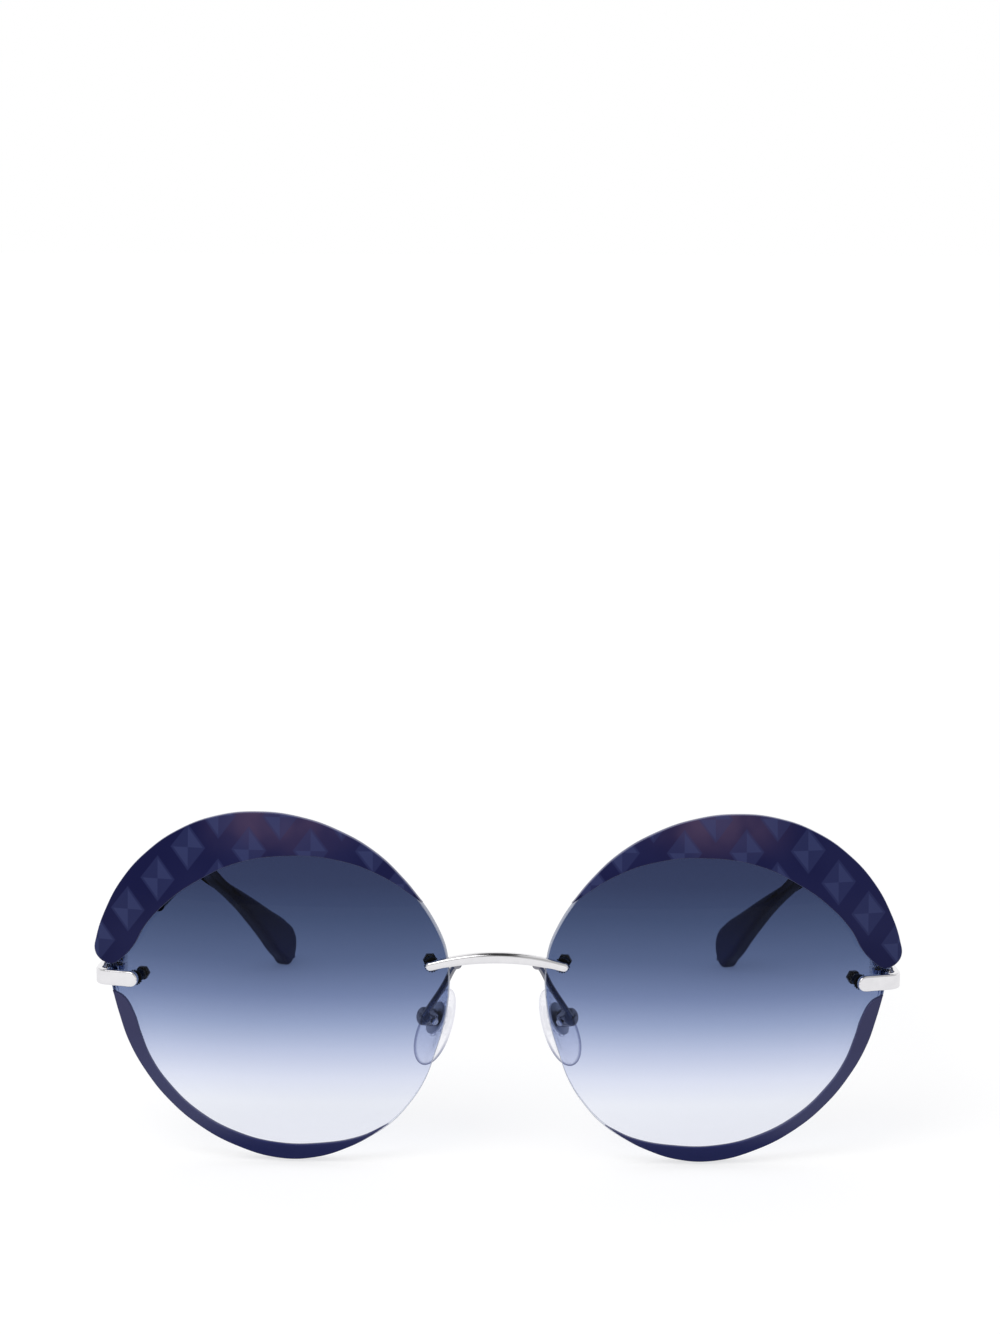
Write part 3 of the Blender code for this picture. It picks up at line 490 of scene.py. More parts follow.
MATERIALS = {
    "lens": new_material("gradient_lens", lens_surface),
    "band": new_material("navy_band", band_surface),
    "metal": new_material("polished_metal", metal_surface, (228, 227, 230), (245, 244, 246)),
    # painted shade: the pad arm's metal is painted dark, for the dark surroundings it reflects
    "wire": new_material("shade_darkened_metal", metal_surface, (120, 120, 128), (150, 150, 158)),
    "nut": new_material("blackened_metal", metal_surface, (7, 7, 10), (15, 15, 19), 0.22, 0.34),
    "coin": new_material("satin_metal", metal_surface, (180, 182, 192), (210, 211, 218), 0.34, 0.46),
    "bushing": new_material("black_plastic", bushing_surface),
    "tip": new_material("navy_tip", tip_surface),
    "pad": new_material("clear_pad", pad_surface),
}


# Shapes and cuts

def linked(name, data):
    made = bpy.data.objects.new(name, data)
    bpy.context.scene.collection.objects.link(made)
    return made


def taken_up(source):
    """The shape that an object's curve or modifiers make, with the object taken away."""
    depsgraph = bpy.context.evaluated_depsgraph_get()
    mesh = bpy.data.meshes.new_from_object(source.evaluated_get(depsgraph))
    bpy.data.objects.remove(source)
    shape = bmesh.new()
    shape.from_mesh(mesh)
    bpy.data.meshes.remove(mesh)
    for name in SHARE_NAMES:
        if name in shape.verts.layers.float:
            shape.verts.layers.float.remove(shape.verts.layers.float[name])
    return shape


def laid_down(shape, name):
    """The mesh of a shape, its faces outward."""
    shape.normal_update()
    bmesh.ops.recalc_face_normals(shape, faces=shape.faces)
    mesh = bpy.data.meshes.new(name)
    shape.to_mesh(mesh)
    shape.free()
    return mesh


def merged(*shapes):
    """Several closed shapes as one."""
    whole = bmesh.new()
    for shape in shapes:
        mesh = laid_down(shape, "shape")
        whole.from_mesh(mesh)
        bpy.data.meshes.remove(mesh)
    return whole


def without(shape, *cutters):
    """A shape with others cut from it."""
    target = linked("target", laid_down(shape, "target"))
    helpers = [linked("cutter", laid_down(cutter, "cutter")) for cutter in cutters]
    for helper in helpers:
        modifier = target.modifiers.new("cut", "BOOLEAN")
        modifier.operation = "DIFFERENCE"
        modifier.solver = "EXACT"
        modifier.object = helper
    rest = taken_up(target)
    for helper in helpers:
        bpy.data.objects.remove(helper)
    return rest


def eased(profile, size, closed=False):
    """A profile with each corner softened, in (radius, height) points."""
    places = [Vector(point) for point in profile]
    count = len(places)
    softened = []
    for index, corner in enumerate(places):
        if not closed and index in (0, count - 1):
            softened.append(corner)
            continue
        before, after = places[index - 1] - corner, places[(index + 1) % count] - corner
        reach = min(size, before.length / 2, after.length / 2)
        start, end = corner + before.normalized() * reach, corner + after.normalized() * reach
        for share in EASE_SHARES:
            softened.append(start.lerp(corner, share).lerp(corner.lerp(end, share), share))
    return softened


def turned(profile, seat, closed=False):
    """A body turned about its seat's Z axis."""
    shape = bmesh.new()
    points = [shape.verts.new((radius, 0, height)) for radius, height in profile]
    edges = [shape.edges.new(pair) for pair in zip(points, points[1:])]
    if closed:
        edges.append(shape.edges.new((points[-1], points[0])))
    bmesh.ops.spin(shape, geom=points + edges, cent=(0, 0, 0), axis=(0, 0, 1), angle=2 * math.pi,
                   steps=ROUND_SIDES, use_merge=True)
    bmesh.ops.remove_doubles(shape, verts=shape.verts, dist=WELD / 2)
    shape.transform(seat)
    return shape


def round_bar(radius, low, high, seat, ease=SMALL_EASE):
    return turned(eased(((0, low), (radius, low), (radius, high), (0, high)), ease), seat)


def soften_edges(shape, size):
    bmesh.ops.bevel(shape, geom=shape.edges, offset=size, segments=EASE_STEPS, profile=0.5, affect="EDGES")


def block(low, high, seat, ease=0.0):
    """A box between two corners in its seat's frame, its edges softened."""
    shape = bmesh.new()
    low, high = Vector(low), Vector(high)
    bmesh.ops.create_cube(shape, size=1.0)
    shape.transform(Matrix.Translation((low + high) / 2) @ Matrix.Diagonal((*(high - low), 1.0)))
    if ease:
        soften_edges(shape, ease)
    shape.transform(seat)
    return shape


def threaded(radius, low, high, seat):
    """A rod with the rings of a screw thread."""
    root = radius - THREAD_DEPTH
    profile = [(0, low)]
    for index in range(int((high - low) / THREAD_PITCH)):
        start = low + index * THREAD_PITCH
        profile.append((root, start + THREAD_PITCH * THREAD_ROOT_SHARE))
        profile.append((radius, start + THREAD_PITCH * THREAD_CREST_SHARE))
    profile += [(root, high - THREAD_PITCH * THREAD_END_SHARE), (radius * ROD_TIP_SHARE, high), (0, high)]
    return turned(profile, seat)


def slotted_screw(head_radius, head_height, shank_radius, seat_height, end_height, seat):
    """A screw with a domed head above the seat, the slot in the head, and its thread."""
    top = seat_height + head_height
    profile = ((0, top), (head_radius * HEAD_TOP_SHARE, top), (head_radius, seat_height), (0, seat_height))
    head = turned(eased(profile, head_height * HEAD_EASE_SHARE), seat)
    wide = head_radius + OVERRUN
    slot = block((-wide, -SCREW_SLOT / 2, top - SCREW_SLOT), (wide, SCREW_SLOT / 2, top + OVERRUN), seat)
    turn_over = Matrix.Rotation(math.pi, 4, "X")
    shank = threaded(shank_radius, -seat_height, -end_height, seat @ turn_over)
    return merged(without(head, slot), shank)


# Geometry Nodes

def geometry_tree(name, inputs):
    """A tree with named inputs, its sockets by name, and the values that they give inside it."""
    tree = bpy.data.node_groups.new(name, "GeometryNodeTree")
    sockets = {}
    for socket, kind in inputs.items():
        sockets[socket] = tree.interface.new_socket(socket, in_out="INPUT", socket_type="NodeSocket" + kind)
    tree.interface.new_socket("Shape", in_out="OUTPUT", socket_type="NodeSocketGeometry")
    return tree, sockets, tree.nodes.new("NodeGroupInput").outputs


def end_tree(tree, node, material):
    """Ends a tree with real geometry in its material."""
    whole = add_node(tree, "GeometryNodeRealizeInstances", {"Geometry": node.outputs[0]})
    shaded = add_node(tree, "GeometryNodeSetMaterial", {"Geometry": whole.outputs[0], "Material": material})
    add_node(tree, "NodeGroupOutput", {"Shape": shaded.outputs[0]})


def grown(mesh, tree, sockets, values):
    """The shape that a tree makes of a mesh, with its inputs set by name."""
    source = linked("source", mesh)
    modifier = source.modifiers.new("growth", "NODES")
    modifier.node_group = tree
    for name, value in values.items():
        modifier[sockets[name].identifier] = value
    return taken_up(source)


# Paths and outlines

def lengths_along(path):
    """How far along a path each of its points lies."""
    lengths = [0.0]
    for before, after in zip(path, path[1:]):
        lengths.append(lengths[-1] + (after - before).length)
    return lengths


def on_lens(shares):
    return [(outward * ROUND_RADIUS, upward * ROUND_RADIUS) for outward, upward in shares]


def pulled_in(points, distance):
    """Points moved towards the lens's centre, so that one plate's edge stands back from the other's."""
    return [tuple(Vector(point) * (1 - distance / Vector(point).length)) for point in points]


def arc_points(centre, radius, start, end, count):
    """Points on an arc, its start and its end among them, in degrees."""
    turns = [math.radians(start + (end - start) * index / count) for index in range(count + 1)]
    return [(centre + radius * math.cos(turn), radius * math.sin(turn)) for turn in turns]


def filleted(points, radius):
    """A path through three points whose corner is an arc."""
    first, corner, last = (Vector(point) for point in points)
    before, after = (first - corner).normalized(), (last - corner).normalized()
    half = before.angle(after) / 2
    tangent = radius / math.tan(half)
    middle = corner + (before + after).normalized() * (radius / math.sin(half))
    start, end = corner + before * tangent - middle, corner + after * tangent - middle
    swing = start.angle_signed(end)
    arc = [middle + Matrix.Rotation(-swing * index / BEND_STEPS, 2) @ start
           for index in range(BEND_STEPS + 1)]
    return [first, *arc, last]


# Rounded blanks from an outline

SHARE_NAMES = ("along", "inset", "across", "rise", "back")


def blank_tree():
    """Geometry Nodes that lay a grid of shares out as a flat plate with a rounded rim, inside an outline."""
    tree, sockets, given = geometry_tree("rounded_blank", {
        "Geometry": "Geometry", "Outline": "Object", "Far Tip": "Float", "Thickness": "Float",
        "Rim Radius": "Float", "Tip Limit": "Float", "Material": "Material"})

    def vector(operation, first, second):
        place = "Scale" if operation == "SCALE" else 1
        node = add_node(tree, "ShaderNodeVectorMath", {0: first, place: second}, operation=operation)
        return node.outputs["Value" if operation == "DISTANCE" else 0]
    outline = add_node(tree, "GeometryNodeObjectInfo", {"Object": given["Outline"]}).outputs["Geometry"]

    def sampled(factor):
        found = add_node(tree, "GeometryNodeSampleCurve", {"Curves": outline, "Factor": factor},
                         mode="FACTOR", use_all_curves=True).outputs
        return found["Position"], vector("CROSS_PRODUCT", found["Tangent"], (0.0, 0.0, 1.0))

    def read(name):
        node = add_node(tree, "GeometryNodeInputNamedAttribute", {"Name": name}, data_type="FLOAT")
        return node.outputs["Attribute"]
    along, inset, across, rise, back = [read(name) for name in SHARE_NAMES]
    rest = times(tree, along, maths(tree, "SUBTRACT", 1.0, given["Far Tip"]))
    upper, upper_in = sampled(times(tree, along, given["Far Tip"]))
    lower, lower_in = sampled(maths(tree, "SUBTRACT", 1.0, rest))
    narrow = times(tree, vector("DISTANCE", upper, lower), given["Tip Limit"])
    reach = times(tree, maths(tree, "MINIMUM", given["Rim Radius"], narrow), inset)
    upper = vector("ADD", upper, vector("SCALE", upper_in, reach))
    lower = vector("ADD", lower, vector("SCALE", lower_in, reach))
    place = axes_of(tree, vector("ADD", upper, vector("SCALE", vector("SUBTRACT", lower, upper), across)))
    dip = times(tree, given["Rim Radius"], rise)
    flat = maths(tree, "SUBTRACT", given["Thickness"], times(tree, dip, 2.0))
    depth = maths(tree, "ADD", dip, times(tree, flat, back))
    spot = add_node(tree, "ShaderNodeCombineXYZ", {"X": place["X"], "Y": depth, "Z": place["Y"]}).outputs[0]
    moved = add_node(tree, "GeometryNodeSetPosition", {"Geometry": given["Geometry"], "Position": spot})
    end_tree(tree, moved, given["Material"])
    return tree, sockets


BLANK_TREE = blank_tree()


def ring_shares(across_steps):
    """The cross-section of a blank as (inset, across, rise, back), round the plate from its upper rim."""
    rim = list(zip(RIM_INSETS, RIM_RISES))
    inner = [index / across_steps for index in range(1, across_steps)]
    ring = [(inset, 0.0, rise, 0.0) for inset, rise in rim]
    ring += [(RIM_INSETS[-1], share, 0.0, 0.0) for share in inner]
    ring += [(inset, 1.0, rise, 0.0) for inset, rise in reversed(rim)]
    ring += [(inset, 1.0, rise, 1.0) for inset, rise in rim]
    ring += [(RIM_INSETS[-1], share, 0.0, 1.0) for share in reversed(inner)]
    ring += [(inset, 0.0, rise, 1.0) for inset, rise in reversed(rim)]
    return ring


def share_grid(across_steps, highlight_rims):
    """A tube of faces whose points carry their shares as attributes, and mark the rims that get a painted
    highlight.
    """
    ring = ring_shares(across_steps)
    count = len(ring)
    values = [(index / LENGTH_STEPS, *shares) for index in range(LENGTH_STEPS + 1) for shares in ring]
    faces = []
    for index in range(LENGTH_STEPS):
        for place in range(count):
            first, second = index * count + place, index * count + (place + 1) % count
            faces.append((first, second, second + count, first + count))
    mesh = bpy.data.meshes.new("share_grid")
    mesh.from_pydata([(value[0], value[1] + value[2], value[4]) for value in values], [], faces)
    columns = dict(zip(SHARE_NAMES, zip(*values)))
    # the rim mark: where the lens and band materials paint a highlight
    columns["rim"] = [float(value[1] < HIGHLIGHT_INSET_SHARE and value[2] in highlight_rims) for value in values]
    for name, column in columns.items():
        mesh.attributes.new(name, "FLOAT", "POINT").data.foreach_set("value", list(column))
    return mesh


def smooth_curve(points, dimensions):
    """A curve object through points, with smooth handles."""
    curve = bpy.data.curves.new("curve", "CURVE")
    curve.dimensions = dimensions
    spline = curve.splines.new("BEZIER")
    spline.resolution_u = OUTLINE_STEPS
    spline.bezier_points.add(len(points) - 1)
    for point, place in zip(spline.bezier_points, points):
        point.co = place
        point.handle_left_type = point.handle_right_type = "AUTO"
    return linked("curve", curve)


def outline_curve(points, corners):
    """A closed flat curve, smooth except at its corners."""
    outline = smooth_curve([(*place, 0) for place in points], "2D")
    outline.data.fill_mode = "NONE"
    spline = outline.data.splines[0]
    spline.use_cyclic_u = True
    for index in corners:
        point = spline.bezier_points[index]
        point.handle_left_type = point.handle_right_type = "VECTOR"
    return outline


def far_tip_share(outline, index):
    """How far round an outline one of its points lies."""
    tip = outline.data.splines[0].bezier_points[index].co
    depsgraph = bpy.context.evaluated_depsgraph_get()
    mesh = bpy.data.meshes.new_from_object(outline.evaluated_get(depsgraph))
    places = [vertex.co.copy() for vertex in mesh.vertices]
    bpy.data.meshes.remove(mesh)
    lengths = lengths_along(places + places[:1])
    nearest = min(range(len(places)), key=lambda place: (places[place] - tip).length)
    return lengths[nearest] / lengths[-1]


def rounded_blank(points, corners, far_index, thickness, rim_radius, tip_limit, across_steps, material,
                  highlight_rims=BOTH_RIMS):
    """A flat plate inside an outline, its front at Y 0 and its thickness along +Y."""
    outline = outline_curve(points, corners)
    shape = grown(share_grid(across_steps, highlight_rims), *BLANK_TREE, {
        "Outline": outline, "Far Tip": far_tip_share(outline, far_index), "Thickness": thickness,
        "Rim Radius": rim_radius, "Tip Limit": tip_limit, "Material": MATERIALS[material]})
    bpy.data.objects.remove(outline)
    bmesh.ops.remove_doubles(shape, verts=shape.verts, dist=WELD)
    bmesh.ops.dissolve_degenerate(shape, edges=shape.edges, dist=WELD)
    return shape


def metal_bar(points, corners, far_index, thickness, rim_radius=METAL_EDGE_RADIUS):
    return rounded_blank(points, corners, far_index, thickness, rim_radius, ROUND_TIP,
                         BAR_ACROSS_STEPS, "metal")


# Places on the front

PIVOTS = {joint["name"]: Vector(joint["pos_m"]) for joint in frame["joints"]}
HINGE = PIVOTS["temple_hinge_left"]
LENS_CENTRE_X = NOSE_HALF_WIDTH + ROUND_RADIUS
LENS_CENTRE_Z = ROUND_RADIUS * LOWEST_SHARE
STAND_OFF = SEAT_GAP + FLANGE_THICKNESS + SEAT_GAP
END_INNER_U = ROUND_RADIUS - END_INNER_INSET
END_CORNER_U = ROUND_RADIUS - END_CORNER_INSET
END_UPWARD = ROUND_RADIUS * END_HEIGHT_SHARE
END_REAR_X = LENS_CENTRE_X + ROUND_RADIUS - END_REAR_INSET
BRIDGE_HALF_LENGTH = NOSE_HALF_WIDTH + BRIDGE_OVERLAP
BRIDGE_UPWARD = ROUND_RADIUS * BRIDGE_HEIGHT_SHARE
BRIDGE_HEIGHT = LENS_CENTRE_Z + BRIDGE_UPWARD
BRIDGE_SEAT_U = (BRIDGE_HALF_LENGTH - BRIDGE_POST_INSET - LENS_CENTRE_X) / math.cos(WRAP_ANGLE)
PAD_ROOT_X = NOSE_HALF_WIDTH - PAD_ROOT_INSET
BOX_FRONT = BOX_DEPTH / 2 - BOX_BACK_WALL / 2
BOX_BACK = BOX_FRONT - BOX_DEPTH
WRAP = Matrix.Rotation(WRAP_ANGLE, 4, "Z")


def sag(outward, upward):
    """How far the sphere of a lens falls back behind its apex."""
    return BASE_RADIUS - math.sqrt(BASE_RADIUS ** 2 - outward ** 2 - upward ** 2)


def apex_y():
    """Where the apex of the lenses lies, found from the hinge behind the lens's edge."""
    edge = Vector((END_CORNER_U, sag(END_CORNER_U, END_UPWARD), END_UPWARD))
    edge.rotate(WRAP)
    return HINGE.y - HINGE_STAND_BACK - edge.y


APEX_Y = apex_y()
LENS_MATRIX = Matrix.Translation((LENS_CENTRE_X, APEX_Y, LENS_CENTRE_Z)) @ WRAP


def lens_point(outward, upward, depth=0.0):
    """A point behind the front surface of the left lens."""
    return LENS_MATRIX @ Vector((outward, sag(outward, upward) + depth, upward))


def lens_seat(outward, upward):
    """A frame on the lens's front surface whose Z axis points into the lens."""
    inward = Vector((-outward, BASE_RADIUS - sag(outward, upward), -upward)).normalized()
    turn = (LENS_MATRIX.to_3x3() @ inward).to_track_quat("Z", "X").to_matrix().to_4x4()
    return Matrix.Translation(lens_point(outward, upward)) @ turn


BRIDGE_SEAT = lens_seat(BRIDGE_SEAT_U, BRIDGE_UPWARD)
END_SEAT = lens_seat(END_INNER_U + END_POST_INSET, END_UPWARD)


# Finished pieces

def finished(shape, side, material, body, name, node):
    """Makes a left-side shape the finished piece of one side, or of neither, in place of a solid."""
    ending = "_" + side if side else ""
    if side == "right":
        shape.transform(MIRROR)
    mesh = laid_down(shape, name + ending)
    mesh.shade_smooth()
    mesh.set_sharp_from_angle(angle=SMOOTH_ANGLE)
    mesh.materials.clear()
    mesh.materials.append(MATERIALS[material])
    piece = linked(name + ending, mesh)
    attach(piece, body)
    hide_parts(node + ending)


def formed(shape, mapping):
    """A blank with each vertex at its formed place, kept inside the solids' box."""
    low, high = CAD_BOX
    for vertex in shape.verts:
        place = mapping(vertex.co)
        vertex.co = [min(max(place[axis], low[axis]), high[axis]) for axis in range(3)]
    return shape


def formed_on_lens(shape, depth):
    return formed(shape, lambda place: lens_point(place.x, place.z, depth + place.y))


def make_lens(side):
    """The round lens: one closed outline from the nasal side, over the top and back below, and two holes."""
    brow = pulled_in(on_lens(BROW_OUTER_SHARES[1:]), BROW_OVERHANG)
    upper = on_lens(NASAL_EDGE_SHARES[2::-1])
    lower = on_lens(LENS_EAR_SHARES + LOWER_OUTER_SHARES + NASAL_EDGE_SHARES[-2:2:-1])
    shape = rounded_blank(upper + brow + lower, (), len(upper) + len(brow), LENS_THICKNESS,
                          LENS_EDGE_RADIUS, ROUND_TIP, LENS_ACROSS_STEPS, "lens")
    hole = SLEEVE_RADIUS + SCREW_GAP
    drills = [round_bar(hole, -OVERRUN, LENS_THICKNESS + OVERRUN, seat) for seat in (BRIDGE_SEAT, END_SEAT)]
    shape = without(formed_on_lens(shape, 0.0), *drills)
    finished(shape, side, "lens", "front", "drilled_lens", "lens")


def make_band(side, name, outline, corners, far_index, highlight_rims):
    """A crescent plate bonded on the lens's face."""
    shape = rounded_blank(outline, corners, far_index, BAND_THICKNESS, BAND_EDGE_RADIUS, POINTED_TIP,
                          BAND_ACROSS_STEPS, "band", highlight_rims)
    shape = formed_on_lens(shape, -SEAT_GAP - BAND_THICKNESS)
    finished(shape, side, "band", "front", name + "_crescent", name + "_band")


def make_bands(side):
    """The wide band on the brow and the narrow one below it."""
    outer = on_lens(BROW_OUTER_SHARES)
    make_band(side, "brow", outer + on_lens(BROW_INNER_SHARES), (0,), len(outer), BOTH_RIMS)
    outer = pulled_in(on_lens(LOWER_OUTER_SHARES), LENS_RIM)
    last = len(outer) - 1
    make_band(side, "lower", outer + on_lens(LOWER_INNER_SHARES), (0, last), last, OUTER_RIM)


# Bushings, nuts and posts in the lenses

def rib_tree():
    """Geometry Nodes that set small ribs round a ring."""
    tree, sockets, given = geometry_tree("ribbed_ring", {
        "Rib Count": "Int", "Ring Radius": "Float", "Rib Size": "Vector", "Material": "Material"})
    ring = add_node(tree, "GeometryNodeMeshCircle", {
        "Vertices": given["Rib Count"], "Radius": given["Ring Radius"]})
    rib = add_node(tree, "GeometryNodeMeshCube", {"Size": given["Rib Size"]})
    index = tree.nodes.new("GeometryNodeInputIndex").outputs[0]
    turn = times(tree, index, maths(tree, "DIVIDE", 2 * math.pi, given["Rib Count"]))
    spin = add_node(tree, "ShaderNodeCombineXYZ", {"Z": turn})
    placed = add_node(tree, "GeometryNodeInstanceOnPoints", {
        "Points": ring.outputs[0], "Instance": rib.outputs[0], "Rotation": spin.outputs[0]})
    end_tree(tree, placed, given["Material"])
    return tree, sockets


RIB_TREE = rib_tree()


def ribs(middle_height, seat):
    """The ribs round a bushing's flange."""
    shape = grown(bpy.data.meshes.new("ribs"), *RIB_TREE, {
        "Rib Count": RIB_COUNT, "Ring Radius": FLANGE_RADIUS - RIB_REACH,
        "Rib Size": (RIB_REACH * 2, RIB_WIDTH, FLANGE_THICKNESS * RIB_HEIGHT_SHARE),
        "Material": MATERIALS["bushing"]})
    shape.transform(seat @ Matrix.Translation((0, 0, middle_height)))
    return shape


def make_fixings(side, where, seat):
    """The bushing in a lens hole, with a ribbed flange before the lens, and the nut behind it."""
    front, back = -SEAT_GAP - FLANGE_THICKNESS, LENS_THICKNESS + SEAT_GAP
    bore = POST_RADIUS + SCREW_GAP
    flange = FLANGE_RADIUS - RIB_REACH
    profile = (
        (flange, front), (flange, -SEAT_GAP), (SLEEVE_RADIUS, -SEAT_GAP),
        (SLEEVE_RADIUS, LENS_THICKNESS), (bore, LENS_THICKNESS), (bore, front),
    )
    body = turned(eased(profile, SMALL_EASE, True), seat, True)
    shape = merged(body, ribs((front - SEAT_GAP) / 2, seat))
    finished(shape, side, "bushing", "front", f"ribbed_{where}_bushing", where + "_bushing")
    nut = bmesh.new()
    bmesh.ops.create_cone(nut, cap_ends=True, segments=NUT_SIDES, radius1=NUT_RADIUS, radius2=NUT_RADIUS,
                          depth=NUT_HEIGHT)
    soften_edges(nut, NUT_EASE)
    nut.transform(seat @ Matrix.Translation((0, 0, back + NUT_HEIGHT / 2)))
    drill = round_bar(bore, back - OVERRUN, back + NUT_HEIGHT + OVERRUN, seat)
    finished(without(nut, drill), side, "nut", "front", f"hexagon_{where}_nut", where + "_nut")


def post(seat):
    """The threaded post that passes through a bushing and its nut."""
    return threaded(POST_RADIUS, -STAND_OFF - POST_RADIUS, LENS_THICKNESS + SEAT_GAP + NUT_HEIGHT, seat)


# The bridge

BRIDGE_MIDDLE_Y = BRIDGE_SEAT.translation.y - STAND_OFF - BRIDGE_END_DEPTH / 2


def bridge_depth(across):
    """The bar's depth at a place across the front."""
    share = min(1.0, abs(across) / BRIDGE_HALF_LENGTH)
    return BRIDGE_END_DEPTH + (BRIDGE_MIDDLE_DEPTH - BRIDGE_END_DEPTH) * (1 - share ** 2)


def bridge_outline():
    """The bar seen from the front: arched, taller in the middle, with round ends."""
    end_radius = BRIDGE_END_HEIGHT / 2
    straight = BRIDGE_HALF_LENGTH - end_radius

    def edge(sign):
        points = []
        for index in range(ARCH_STEPS + 1):
            share = index / ARCH_STEPS * 2 - 1
            bulge = 1 - share ** 2
            height = BRIDGE_END_HEIGHT + (BRIDGE_MIDDLE_HEIGHT - BRIDGE_END_HEIGHT) * bulge
            points.append((straight * share, BRIDGE_RISE * bulge + sign * height / 2))
        return points
    near = arc_points(-straight, end_radius, 180, 90, QUARTER_STEPS)[:-1]
    far = arc_points(straight, end_radius, 90, -90, QUARTER_STEPS * 2)[1:-1]
    below = arc_points(-straight, end_radius, 270, 180, QUARTER_STEPS)[1:-1]
    far_index = len(near) + ARCH_STEPS + QUARTER_STEPS
    return near + edge(1) + far + edge(-1)[::-1] + below, far_index


def make_bridge():
    """The arched bar with the two posts that hold the lenses."""
    points, far_index = bridge_outline()
    shape = metal_bar(points, (), far_index, BRIDGE_END_DEPTH, BRIDGE_EDGE_RADIUS)

    def mapping(place):
        back = (place.y - BRIDGE_END_DEPTH / 2) * bridge_depth(place.x) / BRIDGE_END_DEPTH
        return Vector((place.x, BRIDGE_MIDDLE_Y + back, place.z + BRIDGE_HEIGHT))
    other_post = post(BRIDGE_SEAT)
    other_post.transform(MIRROR)
    shape = merged(formed(shape, mapping), post(BRIDGE_SEAT), other_post)
    finished(shape, "", "metal", "front", "arched_bridge", "bridge")


# The end pieces, hinges and temples

def along(path):
    """Maps a place along, across and above a plan path to its place in space."""
    lengths = lengths_along(path)
    headings = [(after - before).normalized() for before, after in zip(path, path[1:])]
    bends = [(one + two).normalized() for one, two in zip(headings, headings[1:])]
    turns = [headings[0], *bends, headings[-1]]

    def mapping(place):
        index = 0
        while index < len(path) - 2 and place.x > lengths[index + 1]:
            index += 1
        share = (place.x - lengths[index]) / (lengths[index + 1] - lengths[index])
        forward = turns[index].lerp(turns[index + 1], min(1.0, max(0.0, share))).normalized()
        spot = path[index].lerp(path[index + 1], share)
        return Vector((spot.x - forward.y * place.y, spot.y + forward.x * place.y, place.z))
    return mapping


def formed_along(shape, path, thickness, height):
    """A blank bent along a plan path, the middle of its thickness on the path."""
    mapping = along(path)
    middle = Vector((0, -thickness / 2, 0))
    return formed(shape, lambda place: mapping(place + middle) + Vector((0, 0, height)))


def knuckle(low, high, direction):
    """One round eye of the hinge, with the flat that carries it before the hinge or behind it."""
    bore = HINGE_PIN_RADIUS + SCREW_GAP
    profile = ((KNUCKLE_RADIUS, low), (KNUCKLE_RADIUS, high), (bore, high), (bore, low))
    near, far = direction * SEAT_GAP, direction * (SEAT_GAP + LEAF_LENGTH)
    seat = Matrix.Translation(HINGE)
    leaf = block((bore, min(near, far), low), (HINGE_INSET, max(near, far), high), seat, SMALL_EASE)
    return turned(eased(profile, SMALL_EASE, True), seat, True), leaf


def make_end_piece(side):
    """The bar in front of the lens, bent round its edge and back to the hinge, and the hinge's screw."""
    middle = STAND_OFF + END_THICKNESS / 2
    inner = lens_point(END_INNER_U, END_UPWARD, -middle)
    corner = lens_point(END_CORNER_U, END_UPWARD, -middle)
    rear = Vector((END_REAR_X, HINGE.y - SEAT_GAP / 2))
    path = filleted((inner.xy, corner.xy, rear), END_BEND_RADIUS)
    length = lengths_along(path)[-1]
    half = END_HEIGHT / 2
    above = arc_points(half, half, 180, 90, QUARTER_STEPS) + [(2 * half, half), (length, half)]
    below = [(length, -half), (2 * half, -half)] + arc_points(half, half, 270, 180, QUARTER_STEPS)[:-1]
    far = len(above)
    shape = metal_bar(above + [(length, 0)] + below, (far - 1, far, far + 1), far, END_THICKNESS)
    eyes_start = KNUCKLE_MIDDLE / 2 + SEAT_GAP
    eyes_end = eyes_start + KNUCKLE_OUTER
    shape = merged(formed_along(shape, path, END_THICKNESS, HINGE.z), post(END_SEAT),
                   *knuckle(eyes_start, eyes_end, -1), *knuckle(-eyes_end, -eyes_start, -1))
    finished(shape, side, "metal", "front", "bent_end_piece", "end_piece")
    shape = slotted_screw(SCREW_HEAD_RADIUS, SCREW_HEAD_HEIGHT, HINGE_PIN_RADIUS, eyes_end + SCREW_GAP,
                          -eyes_end, Matrix.Translation(HINGE))
    finished(shape, side, "metal", "front", "slotted_hinge_screw", "hinge_screw")


def heading_of(angle):
    """The way a temple runs when it turns in by an angle."""
    return Vector((-math.sin(angle), math.cos(angle)))


TEMPLE_START = Vector((HINGE.x + HINGE_INSET, HINGE.y + SEAT_GAP / 2))


def temple_path():
    """The temple in plan: straight, then tucked in behind the ear."""
    path = [TEMPLE_START, TEMPLE_START + heading_of(TEMPLE_SPLAY) * TUCK_START]
    for index in range(BEND_STEPS):
        angle = TEMPLE_SPLAY + (TIP_TUCK - TEMPLE_SPLAY) * (index + 0.5) / BEND_STEPS
        path.append(path[-1] + heading_of(angle) * TUCK_LENGTH / BEND_STEPS)
    path.append(path[-1] + heading_of(TIP_TUCK) * (TEMPLE_REACH - TUCK_START - TUCK_LENGTH))
    return path


def core_bar(radius, low, high):
    """A round bar along the wire core, from the metal arm's end, which dips to stay inside the tip."""
    plan = TEMPLE_START + heading_of(TEMPLE_SPLAY) * ARM_LENGTH
    way = Vector((*heading_of(TEMPLE_SPLAY), -math.tan(CORE_DIP)))
    turn = way.to_track_quat("Z", "X").to_matrix().to_4x4()
    return round_bar(radius, low, high, Matrix.Translation((*plan, HINGE.z + ARM_RISE)) @ turn)


